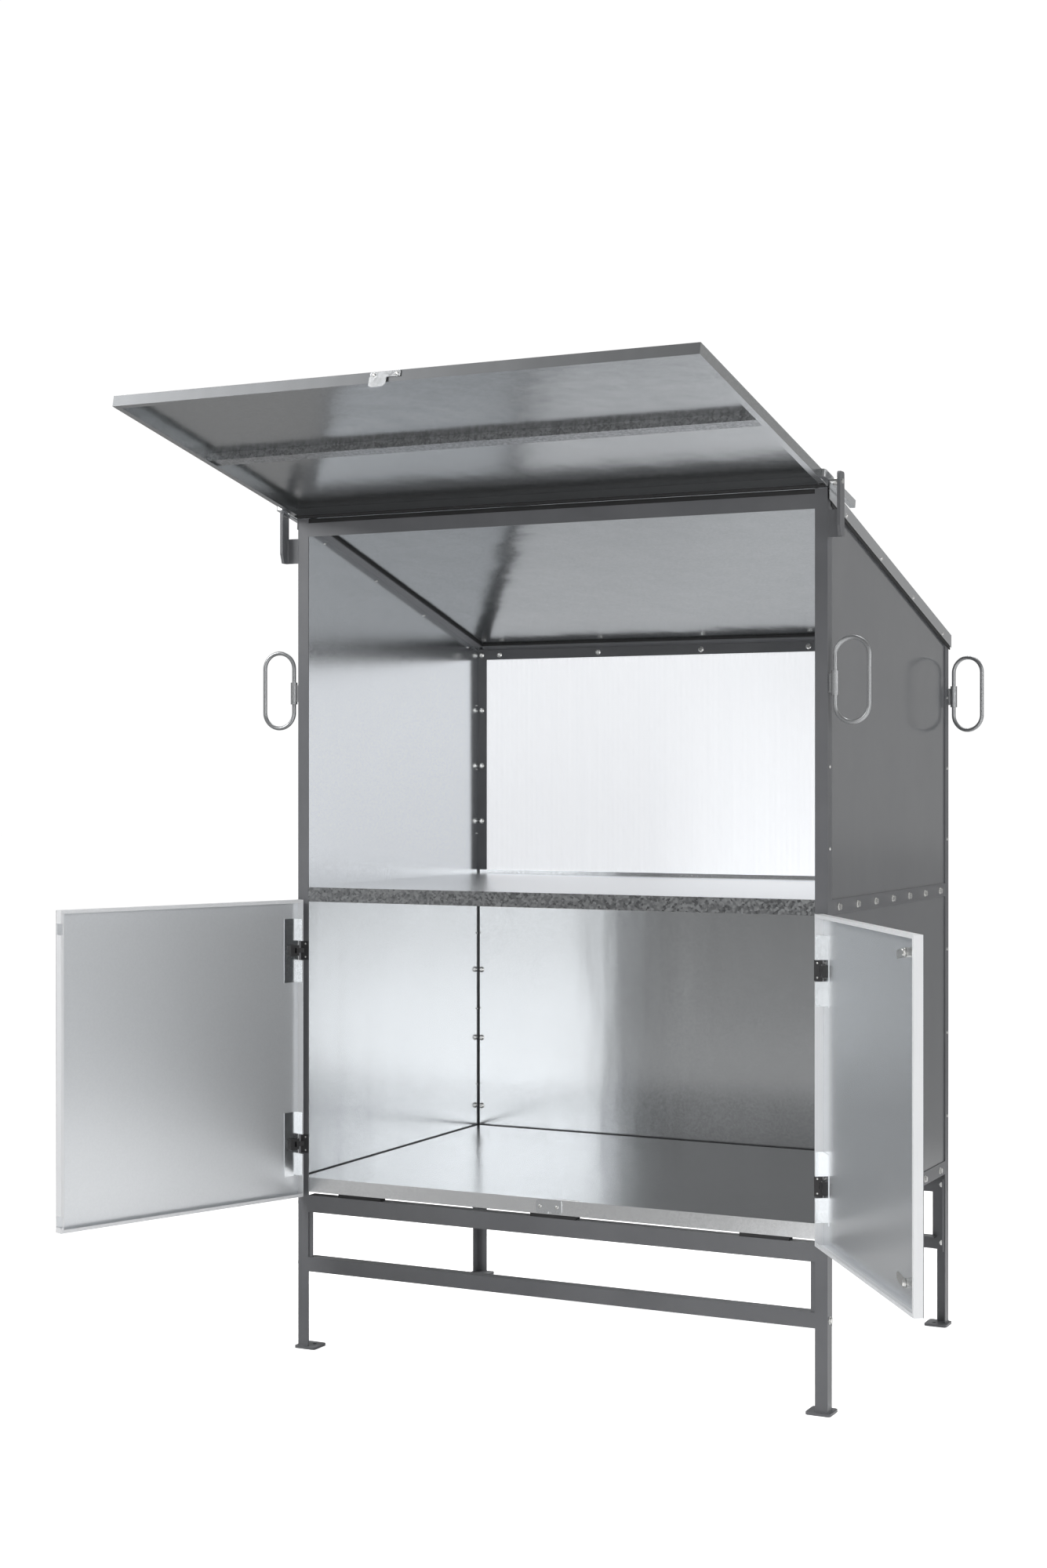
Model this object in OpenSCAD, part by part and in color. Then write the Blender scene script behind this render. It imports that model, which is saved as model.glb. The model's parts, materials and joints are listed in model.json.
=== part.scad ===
// Free-standing garden display cabinet in steel angle: a sloping roof, a lift-up
// front flap over a shelf, and a two-door cupboard below, on four legs.
// X runs along the front, Y towards the back and Z up. The origin is on the
// floor, at the middle of the four legs. Left is -X. Millimetres and degrees.

/* [Cabinet] */
// Width over the posts
cab_w = 1400; // [1000:10:1800]
// Depth over the posts
cab_d = 978; // [700:2:1200]
// Height of the front posts
front_h = 2092; // [1900:2:2500]
// Slope of the roof towards the back
roof_slope = 16; // [8:0.5:18]
// Height of the shelf's top
shelf_z = 1163; // [1000:1:1300]
// Height of the cupboard floor's top
floor_z = 432; // [400:1:520]

/* [Steel angle] */
// Leg width of the posts' angle iron
angle_w = 30; // [25:1:40]
// Thickness of all angle iron and rails
angle_t = 3; // [2:0.5:5]
// Height of the beam over the front opening
top_beam_h = 34; // [25:1:50]
// How far that beam sits below the post tops
top_beam_drop = 12; // [10:1:20]
// Height of the upper beam under the floor
leg_beam_h = 42; // [30:1:55]
// Height of that beam's top
leg_beam_z = 387; // [350:1:392]
// Height of the stretcher near the ground
stretcher_h = 36; // [25:1:50]
// Height of the stretcher's top
stretcher_z = 231; // [150:1:280]
// Leg width of the short uprights inside the posts
upright_w = 38; // [36:1:50]
// Height of the rear rail over the window
rear_rail_h = 30; // [25:1:45]

/* [Feet] */
// Side of the square foot plates
foot_w = 60; // [50:1:90]
// Thickness of the foot plates
foot_t = 6; // [4:0.5:10]
// How far a foot plate stands out past its post
foot_out = 8; // [4:1:14]
// Diameter of the fixing hole in each foot plate
foot_hole_d = 11; // [8:0.5:14]

/* [Sheet metal] */
// Thickness of the galvanised sheet
sheet_t = 1.2; // [0.8:0.1:2]
// Depth of the shelf's and the floor's folded edges
tray_lip = 36; // [30:1:45]
// Depth of the roof's folded side trim
roof_trim = 30; // [24:1:45]
// Thickness of the rubber between frame and roof
seal_t = 6; // [4:0.5:10]
// Thickness of the rear window's twin-wall sheet
window_t = 8; // [6:1:12]

/* [Flap] */
// Length of the flap from its rear edge to its front edge
flap_l = 782; // [600:2:900]
// Depth of the flap's folded rim
flap_rim = 24.5; // [18:0.5:32]
// Width of the rim's folded-in edge
flap_return = 15; // [10:1:25]
// Angle the flap swings from closed to open
flap_open = 102.5; // [85:0.5:110]
// Width of the stiffening rib across the flap
rib_w = 36; // [25:1:50]
// Depth of the rib
rib_h = 18; // [10:1:20]

/* [Doors] */
// Depth of the door pans
door_depth = 21.5; // [21:0.5:30]
// Gap between the two closed doors
door_gap = 3; // [2:0.5:6]
// Height of the doors' lower edge
door_z0 = 385; // [380:1:390]
// How far the doors' upper edge covers the shelf's edge
door_over_shelf = 5; // [2:1:12]
// Opening angle of the left door as it stands
left_open = 111; // [0:1:140]
// Opening angle of the right door as it stands
right_open = 125; // [0:1:140]
// Distance of the locks from the right door's free edge
lock_inset = 31; // [28:1:60]
// Diameter of the lock bodies
lock_d = 20; // [16:0.5:22]
// Length of the lock cams from the spindle
cam_l = 44; // [40:1:48]
// Angle of the cams from locked, as they stand
cam_turn = 100; // [0:5:180]

/* [Carry rings] */
// Outer height of a ring
ring_h = 200; // [140:2:260]
// Outer width of a ring
ring_w = 90; // [70:1:130]
// Diameter of the ring's rod
ring_rod = 10; // [8:0.5:14]
// Height of the rings' middle
ring_z = 1659; // [1500:1:1700]
// Length of the sleeve that holds a ring
sleeve_l = 55; // [30:1:70]

/* [Hidden] */
$fn = 32;

// Colours
PAINT = [0.30, 0.31, 0.33];
PANEL = [0.42, 0.43, 0.45];
ZINC = [0.72, 0.74, 0.76];
ALUMINIUM = [0.88, 0.89, 0.90];
RUBBER = [0.06, 0.06, 0.06];
PLASTIC = [0.09, 0.09, 0.10];
BOLT = [0.80, 0.80, 0.78];
OPAL = [0.94, 0.95, 0.96];

W2 = cab_w / 2;
D2 = cab_d / 2;
eps = 0.01;
run_gap = 0.05;            // radial clearance of a pin that turns
hole_gap = 0.2;            // radial clearance round a bolt

// Layers inwards from the outside of the frame: steel, panel, tray edge
panel_x = W2 - angle_t;
tray_x = panel_x - sheet_t;
panel_y = D2 - angle_t;
tray_y = panel_y - sheet_t;
corner_show = 5;           // bare strip of post beside the lower panels' rear edges
post_in_x = W2 - angle_w;
post_in_y = D2 - angle_w;
flange_mid = angle_w / 2;

// Roof: the frame's top and the roof sheet's underside are parallel planes
slope_tan = tan(roof_slope);
slope_cos = cos(roof_slope);
seal_v = seal_t / slope_cos;
sheet_v = sheet_t / slope_cos;
function frame_top(y) = front_h - (y + D2) * slope_tan;
function roof_under(y) = frame_top(y) + seal_v;
roof_over = 4;             // how far the roof stands out past the posts' sides
roof_front_gap = 2;        // how far its front edge stays behind the posts
roof_rear_over = 14;       // how far its rear edge stands out
roof_front_lip = 5;
roof_rear_lip = 12;

// Fastener sizes
bolt_r = 4;
screw_r = 2;
roof_screw_r = 2.5;
rail_bolts_per_side = 7;
rail_bolt_pitch = (cab_d - 159) / (rail_bolts_per_side - 1);
rail_h = tray_lip - 2;
mid_rail_z = shelf_z - tray_lip + 1;
bottom_rail_z = floor_z - tray_lip + 3;
mid_bolt_z = shelf_z - tray_lip / 2 - 1;
bottom_bolt_z = floor_z - tray_lip / 2 + 1;
mid_joint_z = mid_bolt_z - 9;
panel_bottom_z = bottom_rail_z + 1;
window_z0 = shelf_z - 10;
rear_panel_top = shelf_z + 10;
rear_rail_top = frame_top(D2);
rear_rail_z = rear_rail_top - rear_rail_h;
window_top = rear_rail_top - 7;
rear_bolt_z = rear_rail_top - 16;
window_bolts_x = 5;
window_bolt_pitch = (cab_w - 146) / (window_bolts_x - 1);
window_bolt_rows = 3;
window_bolt_step = (rear_bolt_z - window_z0) / (window_bolt_rows + 1);
lower_bolt_rows = 3;
lower_bolt_step = (shelf_z - floor_z) / (lower_bolt_rows + 0.7);
roof_screw_drop = 22;
roof_screws_per_side = 4;
roof_screw_pitch = (cab_d - 190) / (roof_screws_per_side - 1);
side_screw_zs = [for (k = [0:2]) floor_z + 118 + k * (shelf_z - floor_z) * 0.3];
upper_screw_zs = [for (k = [0:2]) shelf_z + 115 + k * (rear_rail_z - shelf_z) * 0.3];
leg_bolt_zs = [stretcher_z - stretcher_h / 2, leg_beam_z - leg_beam_h / 2];

// Flap: modelled closed, hanging in front of the posts, then swung open
pivot_out = 10;            // the pivot's distance in front of the posts
pivot_y = -D2 - pivot_out;
pivot_z = front_h + 11;
flap_gap = 2.5;            // clearance between the closed flap and the posts
flap_in_y = -D2 - flap_gap;
flap_out_y = flap_in_y - flap_rim;
flap_over = 5;             // how far the flap reaches past its pivot
flap_top = pivot_z + flap_over;
flap_bottom = flap_top - flap_l;
flap_side = W2 + 2;        // half the flap's width
arm_in = W2 + roof_over + 2.5;
arm_w = 12.5;
arm_t = 2.5;
arm_out = arm_in + arm_w;
arm_front = 64;            // reach of the arm along the flap
arm_tail = 155;            // reach of the arm behind the pivot
arm_low = -9.5;            // the arm's edges, measured outwards from the pivot
arm_high = 8.5;
strap_in = W2 + 30.5;
strap_t = 7.5;
strap_w = 30;
strap_top = front_h + 33;
strap_bottom = front_h - 112;
gusset_top = front_h - 50;
pin_r = 6;
pin_shoulder_r = 8;

// Doors: modelled closed, then swung open. The hinge pin is inside the pan's
// outer corner, so that the rim clears the post through the whole swing.
door_back = 2.5;           // clearance between the door's rim and the posts
door_rim_y = -D2 - door_back;
door_out_y = door_rim_y - door_depth;
door_t = 1.5;
door_x1 = W2 - 1;          // the door's hinge edge, from the middle
door_x0 = door_gap / 2;    // the door's free edge
door_z1 = shelf_z - tray_lip + door_over_shelf;
door_return = 8;
hinge_in = 7.5;            // the pin's distance inside the pan's two outer faces
hinge_x = door_x1 - hinge_in;
hinge_y = door_out_y + hinge_in;
hinge_zs = [door_z0 + 132, door_z1 - 128];
knuckle_r = 4;
hinge_pin_r = 1.6;
knuckle_h = 12;
leaf_h = 47;
hinge_body_h = 27;
notch_h = leaf_h + 2;
hinge_plate_h = 160;
hinge_plate_w = 43;
lock_zs = [floor_z + 16, shelf_z - 67];
lock_x = door_x0 + lock_inset;
cam_t = 2.5;
cam_w = 18;
cam_y = -D2 + angle_t + 2; // front face of the cams
spindle_r = 4;

// Carry rings
ring_out = 16;             // the ring's pivot, out from the posts' sides
ring_in_y = 6;             // and in from the posts' front and back faces
ring_x = W2 + ring_out;
ring_y = D2 - ring_in_y;
sleeve_r = ring_rod / 2 + 3.5;
sleeve_z = ring_z - 7;

// ---------------------------------------------------------------- helpers

module both_sides() {
    children();
    mirror([1, 0, 0]) children();
}

module front_and_back() {
    children();
    mirror([0, 1, 0]) children();
}

// A slab whose outline is drawn in the Y-Z plane, from x0 with thickness t
module yz(x0, t) {
    translate([x0, 0, 0]) rotate([90, 0, 90]) linear_extrude(t) children();
}

// Outline of a strip that follows the roof's slope, between two heights that
// are measured from the frame's top
module slope_strip(y0, y1, low, high) {
    polygon([
        [y0, frame_top(y0) + low], [y1, frame_top(y1) + low],
        [y1, frame_top(y1) + high], [y0, frame_top(y0) + high]
    ]);
}

// A box from one corner to the other
module block(a, b) {
    translate(a) cube(b - a);
}

// A rectangle with round corners, about its middle
module rounded_plate(w, h, r) {
    square([w, h - 2 * r], center = true);
    square([w - 2 * r, h], center = true);
    for (sx = [-1, 1]) for (sy = [-1, 1])
        translate([sx * (w / 2 - r), sy * (h / 2 - r)]) circle(r);
}

// Points outwards from a side (s = -1 or 1), or from the back
module out_x(s, y, z, x = W2) {
    translate([s * x, y, z]) rotate([0, s * 90, 0]) children();
}

module out_y(x, z, y = D2) {
    translate([x, y, z]) rotate([-90, 0, 0]) children();
}

module out_front(x, z, y = -D2) {
    translate([x, y, z]) rotate([90, 0, 0]) children();
}

// Hexagon bolt with washer and nut: the head is above z = 0
module hex_bolt(r, grip) {
    cylinder(r = 2.2 * r, h = 1.2);
    translate([0, 0, 1.2 - eps]) cylinder(r = 1.8 * r, h = 1.2 * r, $fn = 6);
    translate([0, 0, -grip - 1.2 * r]) cylinder(r = r, h = grip + 1.2 * r + 1);
    translate([0, 0, -grip - r]) cylinder(r = 1.8 * r, h = r, $fn = 6);
}

// Round-headed bolt with a nut at the far end
module round_bolt(r, grip) {
    cylinder(r = 2 * r, h = 0.4 * r);
    translate([0, 0, 0.4 * r - eps]) cylinder(r1 = 2 * r, r2 = 1.1 * r, h = 0.5 * r);
    translate([0, 0, -grip - r]) cylinder(r = r, h = grip + r + eps);
    translate([0, 0, -grip - r]) cylinder(r = 1.8 * r, h = r, $fn = 6);
}

// Pan-headed screw
module pan_screw(r, l) {
    cylinder(r = 2 * r, h = 0.6 * r);
    translate([0, 0, 0.6 * r - eps]) cylinder(r1 = 2 * r, r2 = 1.2 * r, h = 0.6 * r);
    translate([0, 0, -l]) cylinder(r = r, h = l + eps);
}

// A drill that runs through both sides of the cabinet
module cross_drill(y, z, r) {
    translate([0, y, z]) rotate([0, 90, 0])
        cylinder(r = r + hole_gap, h = cab_w + 200, center = true);
}

module rear_drill(x, z, r) {
    translate([x, D2, z]) rotate([90, 0, 0])
        cylinder(r = r + hole_gap, h = 80, center = true);
}

// ------------------------------------------------------ fastener positions

function rail_bolt_y(i) = (i - (rail_bolts_per_side - 1) / 2) * rail_bolt_pitch;
function window_bolt_x(i) = (i - (window_bolts_x - 1) / 2) * window_bolt_pitch;
function roof_screw_y(i) = 28 + (i - (roof_screws_per_side - 1) / 2) * roof_screw_pitch;
function roof_screw_z(y) = roof_under(y) - roof_screw_drop;

module rail_bolt_drills(z) {
    for (i = [0:rail_bolts_per_side - 1]) cross_drill(rail_bolt_y(i), z, bolt_r);
}

module side_screw_drills(zs) {
    for (z = zs) for (s = [-1, 1]) cross_drill(s * (D2 - flange_mid), z, screw_r);
}

module rear_bolt_places() {
    for (i = [0:window_bolts_x - 1]) translate([window_bolt_x(i), 0, rear_bolt_z]) children();
    rear_post_bolt_places() children();
}

module rear_post_bolt_places() {
    for (s = [-1, 1]) for (k = [0:window_bolt_rows])
        translate([s * (W2 - flange_mid), 0, rear_bolt_z - k * window_bolt_step]) children();
}

module lower_bolt_places() {
    for (s = [-1, 1]) for (k = [0:lower_bolt_rows - 1])
        translate([s * (W2 - flange_mid), 0, floor_z + 55 + k * lower_bolt_step]) children();
}

module rear_drills() {
    rear_bolt_places() rear_drill(0, 0, bolt_r);
}

module lower_drills() {
    lower_bolt_places() rear_drill(0, 0, bolt_r);
}

// ------------------------------------------------------------------- frame

module post(front) {
    difference() {
        intersection() {
            union() {
                block([-W2, -D2, foot_t], [-post_in_x, -panel_y, front_h + 10]);
                block([-W2, -D2, foot_t], [-panel_x, -post_in_y, front_h + 10]);
            }
            if (front) under_frame_top();
            else mirror([0, 1, 0]) under_frame_top();
        }
        mirror([0, front ? 0 : 1, 0]) {
            side_screw_drills(side_screw_zs);
            side_screw_drills(upper_screw_zs);
            leg_bolt_drills(front);
            if (!front) {
                rear_drills();
                lower_drills();
            }
        }
    }
}

module under_frame_top() {
    yz(-W2 - 10, cab_w + 20)
        polygon([
            [-D2 - 10, 0], [D2 + 10, 0],
            [D2 + 10, frame_top(D2 + 10)], [-D2 - 10, frame_top(-D2 - 10)]
        ]);
}

module leg_bolt_drills(front) {
    for (z = leg_bolt_zs)
        if (front) cross_drill(-D2 + flange_mid, z, bolt_r);
        else for (s = [-1, 1]) rear_drill(s * (W2 - flange_mid), z, bolt_r);
}

module front_left_post() { color(PAINT) post(true); }
module front_right_post() { color(PAINT) mirror([1, 0, 0]) post(true); }
module rear_left_post() { color(PAINT) mirror([0, 1, 0]) post(false); }
module rear_right_post() { color(PAINT) mirror([1, 0, 0]) mirror([0, 1, 0]) post(false); }

foot_r = 8;
foot_cx = W2 + foot_out - foot_w / 2;
foot_cy = D2 + foot_out - foot_w / 2;
foot_hole_x = post_in_x;
foot_hole_y = post_in_y;

module foot_plates() {
    color(PAINT) both_sides() front_and_back() difference() {
        translate([-foot_cx, -foot_cy, 0]) linear_extrude(foot_t) rounded_plate(foot_w, foot_w, foot_r);
        translate([-foot_hole_x, -foot_hole_y, -1])
            cylinder(d = foot_hole_d, h = foot_t + 2);
    }
}

// Angle iron along the front, its top leg pointing back
module front_angle(x1, top, h, y = -D2) {
    block([-x1, y, top - h], [x1, y + angle_t, top]);
    block([-x1, y, top - angle_t], [x1, y + angle_w, top]);
}

module top_front_beam() {
    color(PAINT) front_angle(post_in_x, front_h - top_beam_drop, top_beam_h);
}

upright_x = panel_x - upright_w;   // inner edge of the short uprights
module front_leg_beam() { color(PAINT) front_angle(post_in_x, leg_beam_z, leg_beam_h); }
module front_stretcher() { color(PAINT) front_angle(post_in_x, stretcher_z, stretcher_h); }
module rear_leg_beam() {
    color(PAINT) mirror([0, 1, 0]) front_angle(post_in_x, leg_beam_z, leg_beam_h);
}
module rear_stretcher() {
    color(PAINT) mirror([0, 1, 0]) front_angle(post_in_x, stretcher_z, stretcher_h);
}

// Short uprights nested in the posts: they tie beam and stretcher to the legs
module leg_uprights() {
    z0 = stretcher_z - stretcher_h;
    z1 = leg_beam_z - angle_t;
    color(PAINT) both_sides() {
        upright(z0, z1, true);
        mirror([0, 1, 0]) upright(z0, z1, false);
    }
}

module upright(z0, z1, front) {
    difference() {
        union() {
            block([-panel_x, -panel_y, z0], [-upright_x, -panel_y + angle_t, z1]);
            block([-panel_x, -panel_y, z0],
                  [-panel_x + angle_t, -panel_y + upright_w, z1]);
        }
        mirror([0, front ? 0 : 1, 0]) leg_bolt_drills(front);
        // the stretcher's and the beam's top legs pass through here
        block([-post_in_x, -D2 - 1, stretcher_z - angle_t - 0.1],
              [0, -post_in_y + 1, stretcher_z + 0.1]);
    }
}

module side_rail(z, bolt_z) {
    both_sides() difference() {
        block([-W2, -post_in_y, z], [-panel_x, post_in_y, z + rail_h]);
        rail_bolt_drills(bolt_z);
    }
}

module mid_rails() { color(PAINT) side_rail(mid_rail_z, mid_bolt_z); }
module bottom_rails() { color(PAINT) side_rail(bottom_rail_z, bottom_bolt_z); }

module roof_rails() {
    color(PAINT) both_sides() difference() {
        union() {
            yz(-W2, angle_t) slope_strip(-post_in_y, post_in_y, -angle_w, 0);
            yz(-W2, angle_w) slope_strip(-post_in_y, post_in_y, -angle_t, 0);
        }
        roof_drills();
    }
}

module rear_top_rail() {
    color(PAINT) difference() {
        intersection() {
            union() {
                block([-post_in_x, panel_y, rear_rail_z], [post_in_x, D2, rear_rail_top + 5]);
                yz(-post_in_x, 2 * post_in_x) slope_strip(post_in_y, D2, -angle_t, 0);
            }
            under_frame_top();
        }
        rear_drills();
    }
}

// ------------------------------------------------------------------ panels

module upper_panel() {
    difference() {
        yz(-panel_x, sheet_t)
            polygon([
                [-panel_y, mid_joint_z + 0.5], [panel_y, mid_joint_z + 0.5],
                [panel_y, frame_top(panel_y) - angle_t],
                [-panel_y, frame_top(-panel_y) - angle_t]
            ]);
        rail_bolt_drills(mid_bolt_z);
        side_screw_drills(upper_screw_zs);
        roof_drills();
    }
}

module lower_panel() {
    difference() {
        block([-panel_x, -panel_y, panel_bottom_z],
              [-tray_x, panel_y - corner_show, mid_joint_z - 0.5]);
        rail_bolt_drills(bottom_bolt_z);
        side_screw_drills(side_screw_zs);
    }
}

module left_upper_panel() { color(PANEL) upper_panel(); }
module left_lower_panel() { color(PANEL) lower_panel(); }
module right_upper_panel() { color(PANEL) mirror([1, 0, 0]) upper_panel(); }
module right_lower_panel() { color(PANEL) mirror([1, 0, 0]) lower_panel(); }

module rear_lower_panel() {
    color(ZINC) difference() {
        x = tray_x - corner_show;
        block([-x, tray_y, panel_bottom_z], [x, panel_y, rear_panel_top]);
        lower_drills();
    }
}

module rear_window() {
    color(OPAL) difference() {
        block([-W2 + 3, D2, window_z0], [W2 - 3, D2 + window_t, window_top]);
        rear_drills();
    }
}

// A tray: a flat top with its four edges folded down
module tray(top, front_y) {
    x = tray_x;
    block([-x, front_y, top - sheet_t], [x, tray_y, top]);
    for (s = [-1, 1])
        block([s > 0 ? x - sheet_t : -x, -post_in_y, top - tray_lip],
              [s > 0 ? x : -x + sheet_t, tray_y, top - sheet_t + eps]);
    block([-x, tray_y - sheet_t, top - tray_lip], [x, tray_y, top - sheet_t + eps]);
}

// The front edge stands flush with the posts, between them
module tray_front(top) {
    x = post_in_x - 0.3;
    block([-x, -D2, top - tray_lip], [x, -D2 + sheet_t, top]);
    block([-x, -D2, top - sheet_t], [x, -panel_y + 1, top]);
}

module shelf() {
    color(ZINC) difference() {
        union() {
            tray(shelf_z, -panel_y);
            tray_front(shelf_z);
        }
        rail_bolt_drills(mid_bolt_z);
    }
}

slot_x0 = lock_x - cam_w / 2 - 4;
slot_x1 = lock_x + cam_l + 3;
module floor_tray() {
    color(ZINC) difference() {
        union() {
            tray(floor_z, -panel_y);
            tray_front(floor_z);
            floor_fold();
        }
        rail_bolt_drills(bottom_bolt_z);
        block([slot_x0, cam_y - 2.5, floor_z - 5], [slot_x1, cam_y + cam_t + 3, floor_z + 5]);
        for (x = striker_screw_xs)
            translate([x, -D2, striker_screw_z]) rotate([90, 0, 0])
                cylinder(r = screw_r + hole_gap, h = 10, center = true);
    }
}

// The floor's front edge is folded under, and stands on the pads
module floor_fold() {
    z = floor_z - tray_lip;
    block([-post_in_x + 0.3, -D2, z], [post_in_x - 0.3, -D2 + 12, z + sheet_t]);
}

pad_l = 120;
pad_t = floor_z - tray_lip - leg_beam_z;
pad_pitch = (cab_w - 330) / 2;
module floor_pads() {
    color(RUBBER) for (i = [-1:1])
        translate([i * pad_pitch + 12, -D2 + angle_w / 2, leg_beam_z])
            translate([-pad_l / 2, -angle_w / 2 + 2, 0]) cube([pad_l, angle_w - 4, pad_t]);
}

striker_w = 68;
striker_x = 3;
striker_t = 1.5;
striker_screw_xs = [striker_x - 23, striker_x + 22];
striker_screw_z = floor_z - tray_lip / 2;
module striker_plate() {
    color(ZINC) difference() {
        translate([striker_x, -D2 - striker_t, striker_screw_z]) rotate([-90, 0, 0])
            linear_extrude(striker_t) difference() {
                rounded_plate(striker_w, tray_lip - 3, 7);
                translate([3, (tray_lip - 3) / 2]) square([9, 10], center = true);
            }
        for (x = striker_screw_xs)
            translate([x, -D2, striker_screw_z]) rotate([90, 0, 0])
                cylinder(r = screw_r + hole_gap, h = 10, center = true);
    }
}

module striker_screws() {
    color(BOLT) for (x = striker_screw_xs)
        out_front(x, striker_screw_z, -D2 - striker_t) pan_screw(screw_r, 8);
}

// -------------------------------------------------------------------- roof

roof_x = W2 + roof_over;
roof_y0 = -D2 + roof_front_gap;
roof_y1 = D2 + roof_rear_over;
trim_v = roof_trim / slope_cos;

module roof_drills() {
    for (i = [0:roof_screws_per_side - 1])
        cross_drill(roof_screw_y(i), roof_screw_z(roof_screw_y(i)), roof_screw_r);
}

module roof_panel() {
    low = seal_v;
    color(ZINC) difference() {
        union() {
            yz(-roof_x, 2 * roof_x) slope_strip(roof_y0, roof_y1, low, low + sheet_v);
            for (x = [-roof_x, roof_x - sheet_t])
                yz(x, sheet_t) slope_strip(roof_y0, roof_y1, low - trim_v, low + eps);
            yz(-roof_x, 2 * roof_x)
                slope_strip(roof_y0, roof_y0 + sheet_t, low - roof_front_lip, low + eps);
            yz(-roof_x, 2 * roof_x)
                slope_strip(roof_y1 - sheet_t, roof_y1, low - roof_rear_lip, low + eps);
        }
        roof_drills();
    }
}

// Rubber on the rails under the roof, and the lips that show below its trim
module roof_seals() {
    color(RUBBER) {
        both_sides() {
            yz(-W2, angle_w) slope_strip(-post_in_y, post_in_y, 0.1, seal_v - 0.1);
            difference() {
                yz(-roof_x + sheet_t + 0.1, roof_over - sheet_t - 0.2)
                    slope_strip(roof_y0 + 20, roof_y1 - 8, -trim_v - 2, -12);
                roof_drills();
            }
        }
        yz(-post_in_x + 1, 2 * post_in_x - 2)
            slope_strip(D2 - angle_w, D2, 0.1, seal_v - 0.1);
    }
}

module front_seal() {
    color(RUBBER) block([-post_in_x + 1, -D2 + 1, front_h - top_beam_drop],
                        [post_in_x - 1, -D2 + 11, front_h - 0.5]);
}

// -------------------------------------------------------------------- flap

module open_flap() {
    translate([0, pivot_y, pivot_z]) rotate([-flap_open, 0, 0])
        translate([0, -pivot_y, -pivot_z]) children();
}

module flap_panel() {
    x = flap_side;
    color(ZINC) open_flap() difference() {
        flap_pan(x);
        latch_drills();
    }
}

module flap_pan(x) {
    block([-x, flap_out_y, flap_bottom], [x, flap_out_y + sheet_t, flap_top]);
    for (s = [-1, 1]) {
        a = s > 0 ? x - sheet_t : -x;
        block([a, flap_out_y, flap_bottom], [a + sheet_t, flap_in_y, flap_top]);
        b = s > 0 ? x - flap_return : -x;
        block([b, flap_in_y - sheet_t, flap_bottom], [b + flap_return, flap_in_y, flap_top]);
    }
    for (z = [flap_bottom, flap_top - sheet_t])
        block([-x, flap_out_y, z], [x, flap_in_y, z + sheet_t]);
    for (z = [flap_bottom, flap_top - flap_return])
        block([-x, flap_in_y - sheet_t, z], [x, flap_in_y, z + flap_return]);
}

// A channel across the flap, open towards the sheet
module flap_rib() {
    mid = (flap_top + flap_bottom) / 2;
    x = flap_side - sheet_t - 0.5;
    y0 = flap_out_y + sheet_t;
    y1 = y0 + rib_h;
    color(ZINC) open_flap() {
        block([-x, y1 - sheet_t, mid - rib_w / 2], [x, y1, mid + rib_w / 2]);
        for (z = [mid - rib_w / 2, mid + rib_w / 2 - sheet_t])
            block([-x, y0, z], [x, y1, z + sheet_t]);
    }
}

// Arms beside the flap: channels bent in plan, from the flap's side outwards
// and then back past the pivot
module flap_arms() {
    color(ZINC) open_flap() both_sides() difference() {
        union() {
            arm_layer(arm_low, arm_high) {
                difference() {
                    arm_outline(0);
                    arm_outline(arm_t);
                }
                translate([flap_side, arm_end]) square([arm_t, 30]);
            }
            arm_layer(arm_low, arm_low + arm_t) intersection() {
                arm_outline(0);
                union() {
                    translate([arm_in, arm_end]) square([arm_w, 300]);
                    translate([flap_side, arm_end]) square([arm_w, arm_w]);
                }
            }
        }
        translate([-arm_out, pivot_y, pivot_z]) rotate([0, 90, 0])
            cylinder(r = pin_r + run_gap, h = 10, center = true);
    }
}

arm_end = pivot_z - arm_front;
arm_bend = 7;

// Extrudes an outline drawn in X-Z to a slice of the left arm's depth
module arm_layer(low, high) {
    translate([0, pivot_y - low, 0]) rotate([90, 0, 0])
        linear_extrude(high - low) mirror([1, 0, 0]) children();
}

// The arm's plan, drawn as a filled corner and pulled in by a wall
module arm_outline(wall) {
    r = arm_bend - wall;
    x = arm_out - wall;
    z = arm_end + wall;
    top = pivot_z + arm_tail + wall;
    translate([flap_side, z]) square([x - r - flap_side, top - z]);
    translate([flap_side, z + r]) square([x - flap_side, top - z - r]);
    translate([x - r, z + r]) circle(r);
}

latch_w = 42;
latch_x = -21;
latch_screw_xs = [-32, 23];
module flap_latch() {
    color(ZINC) open_flap() difference() {
        union() {
            block([latch_screw_xs[0] - 9, pivot_y - 16, flap_bottom - 1.5],
                  [latch_screw_xs[1] + 9, pivot_y - 3, flap_bottom]);
            translate([latch_x, pivot_y, flap_bottom - 3.5]) linear_extrude(2)
                polygon([
                    [-latch_w / 2, -5], [latch_w / 2, -5], [latch_w / 2, 10],
                    [latch_w / 2 - 8, 18], [-latch_w / 2 + 4, 18], [-latch_w / 2, 14]
                ]);
        }
        latch_drills();
    }
}

module latch_drills() {
    for (x = latch_screw_xs)
        translate([x, pivot_y - 9.5, flap_bottom])
            cylinder(r = screw_r + hole_gap, h = 20, center = true);
}

module flap_latch_screws() {
    color(BOLT) open_flap() for (x = latch_screw_xs)
        translate([x, pivot_y - 9.5, flap_bottom - 1.5]) mirror([0, 0, 1])
            pan_screw(screw_r, 6);
}

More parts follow.
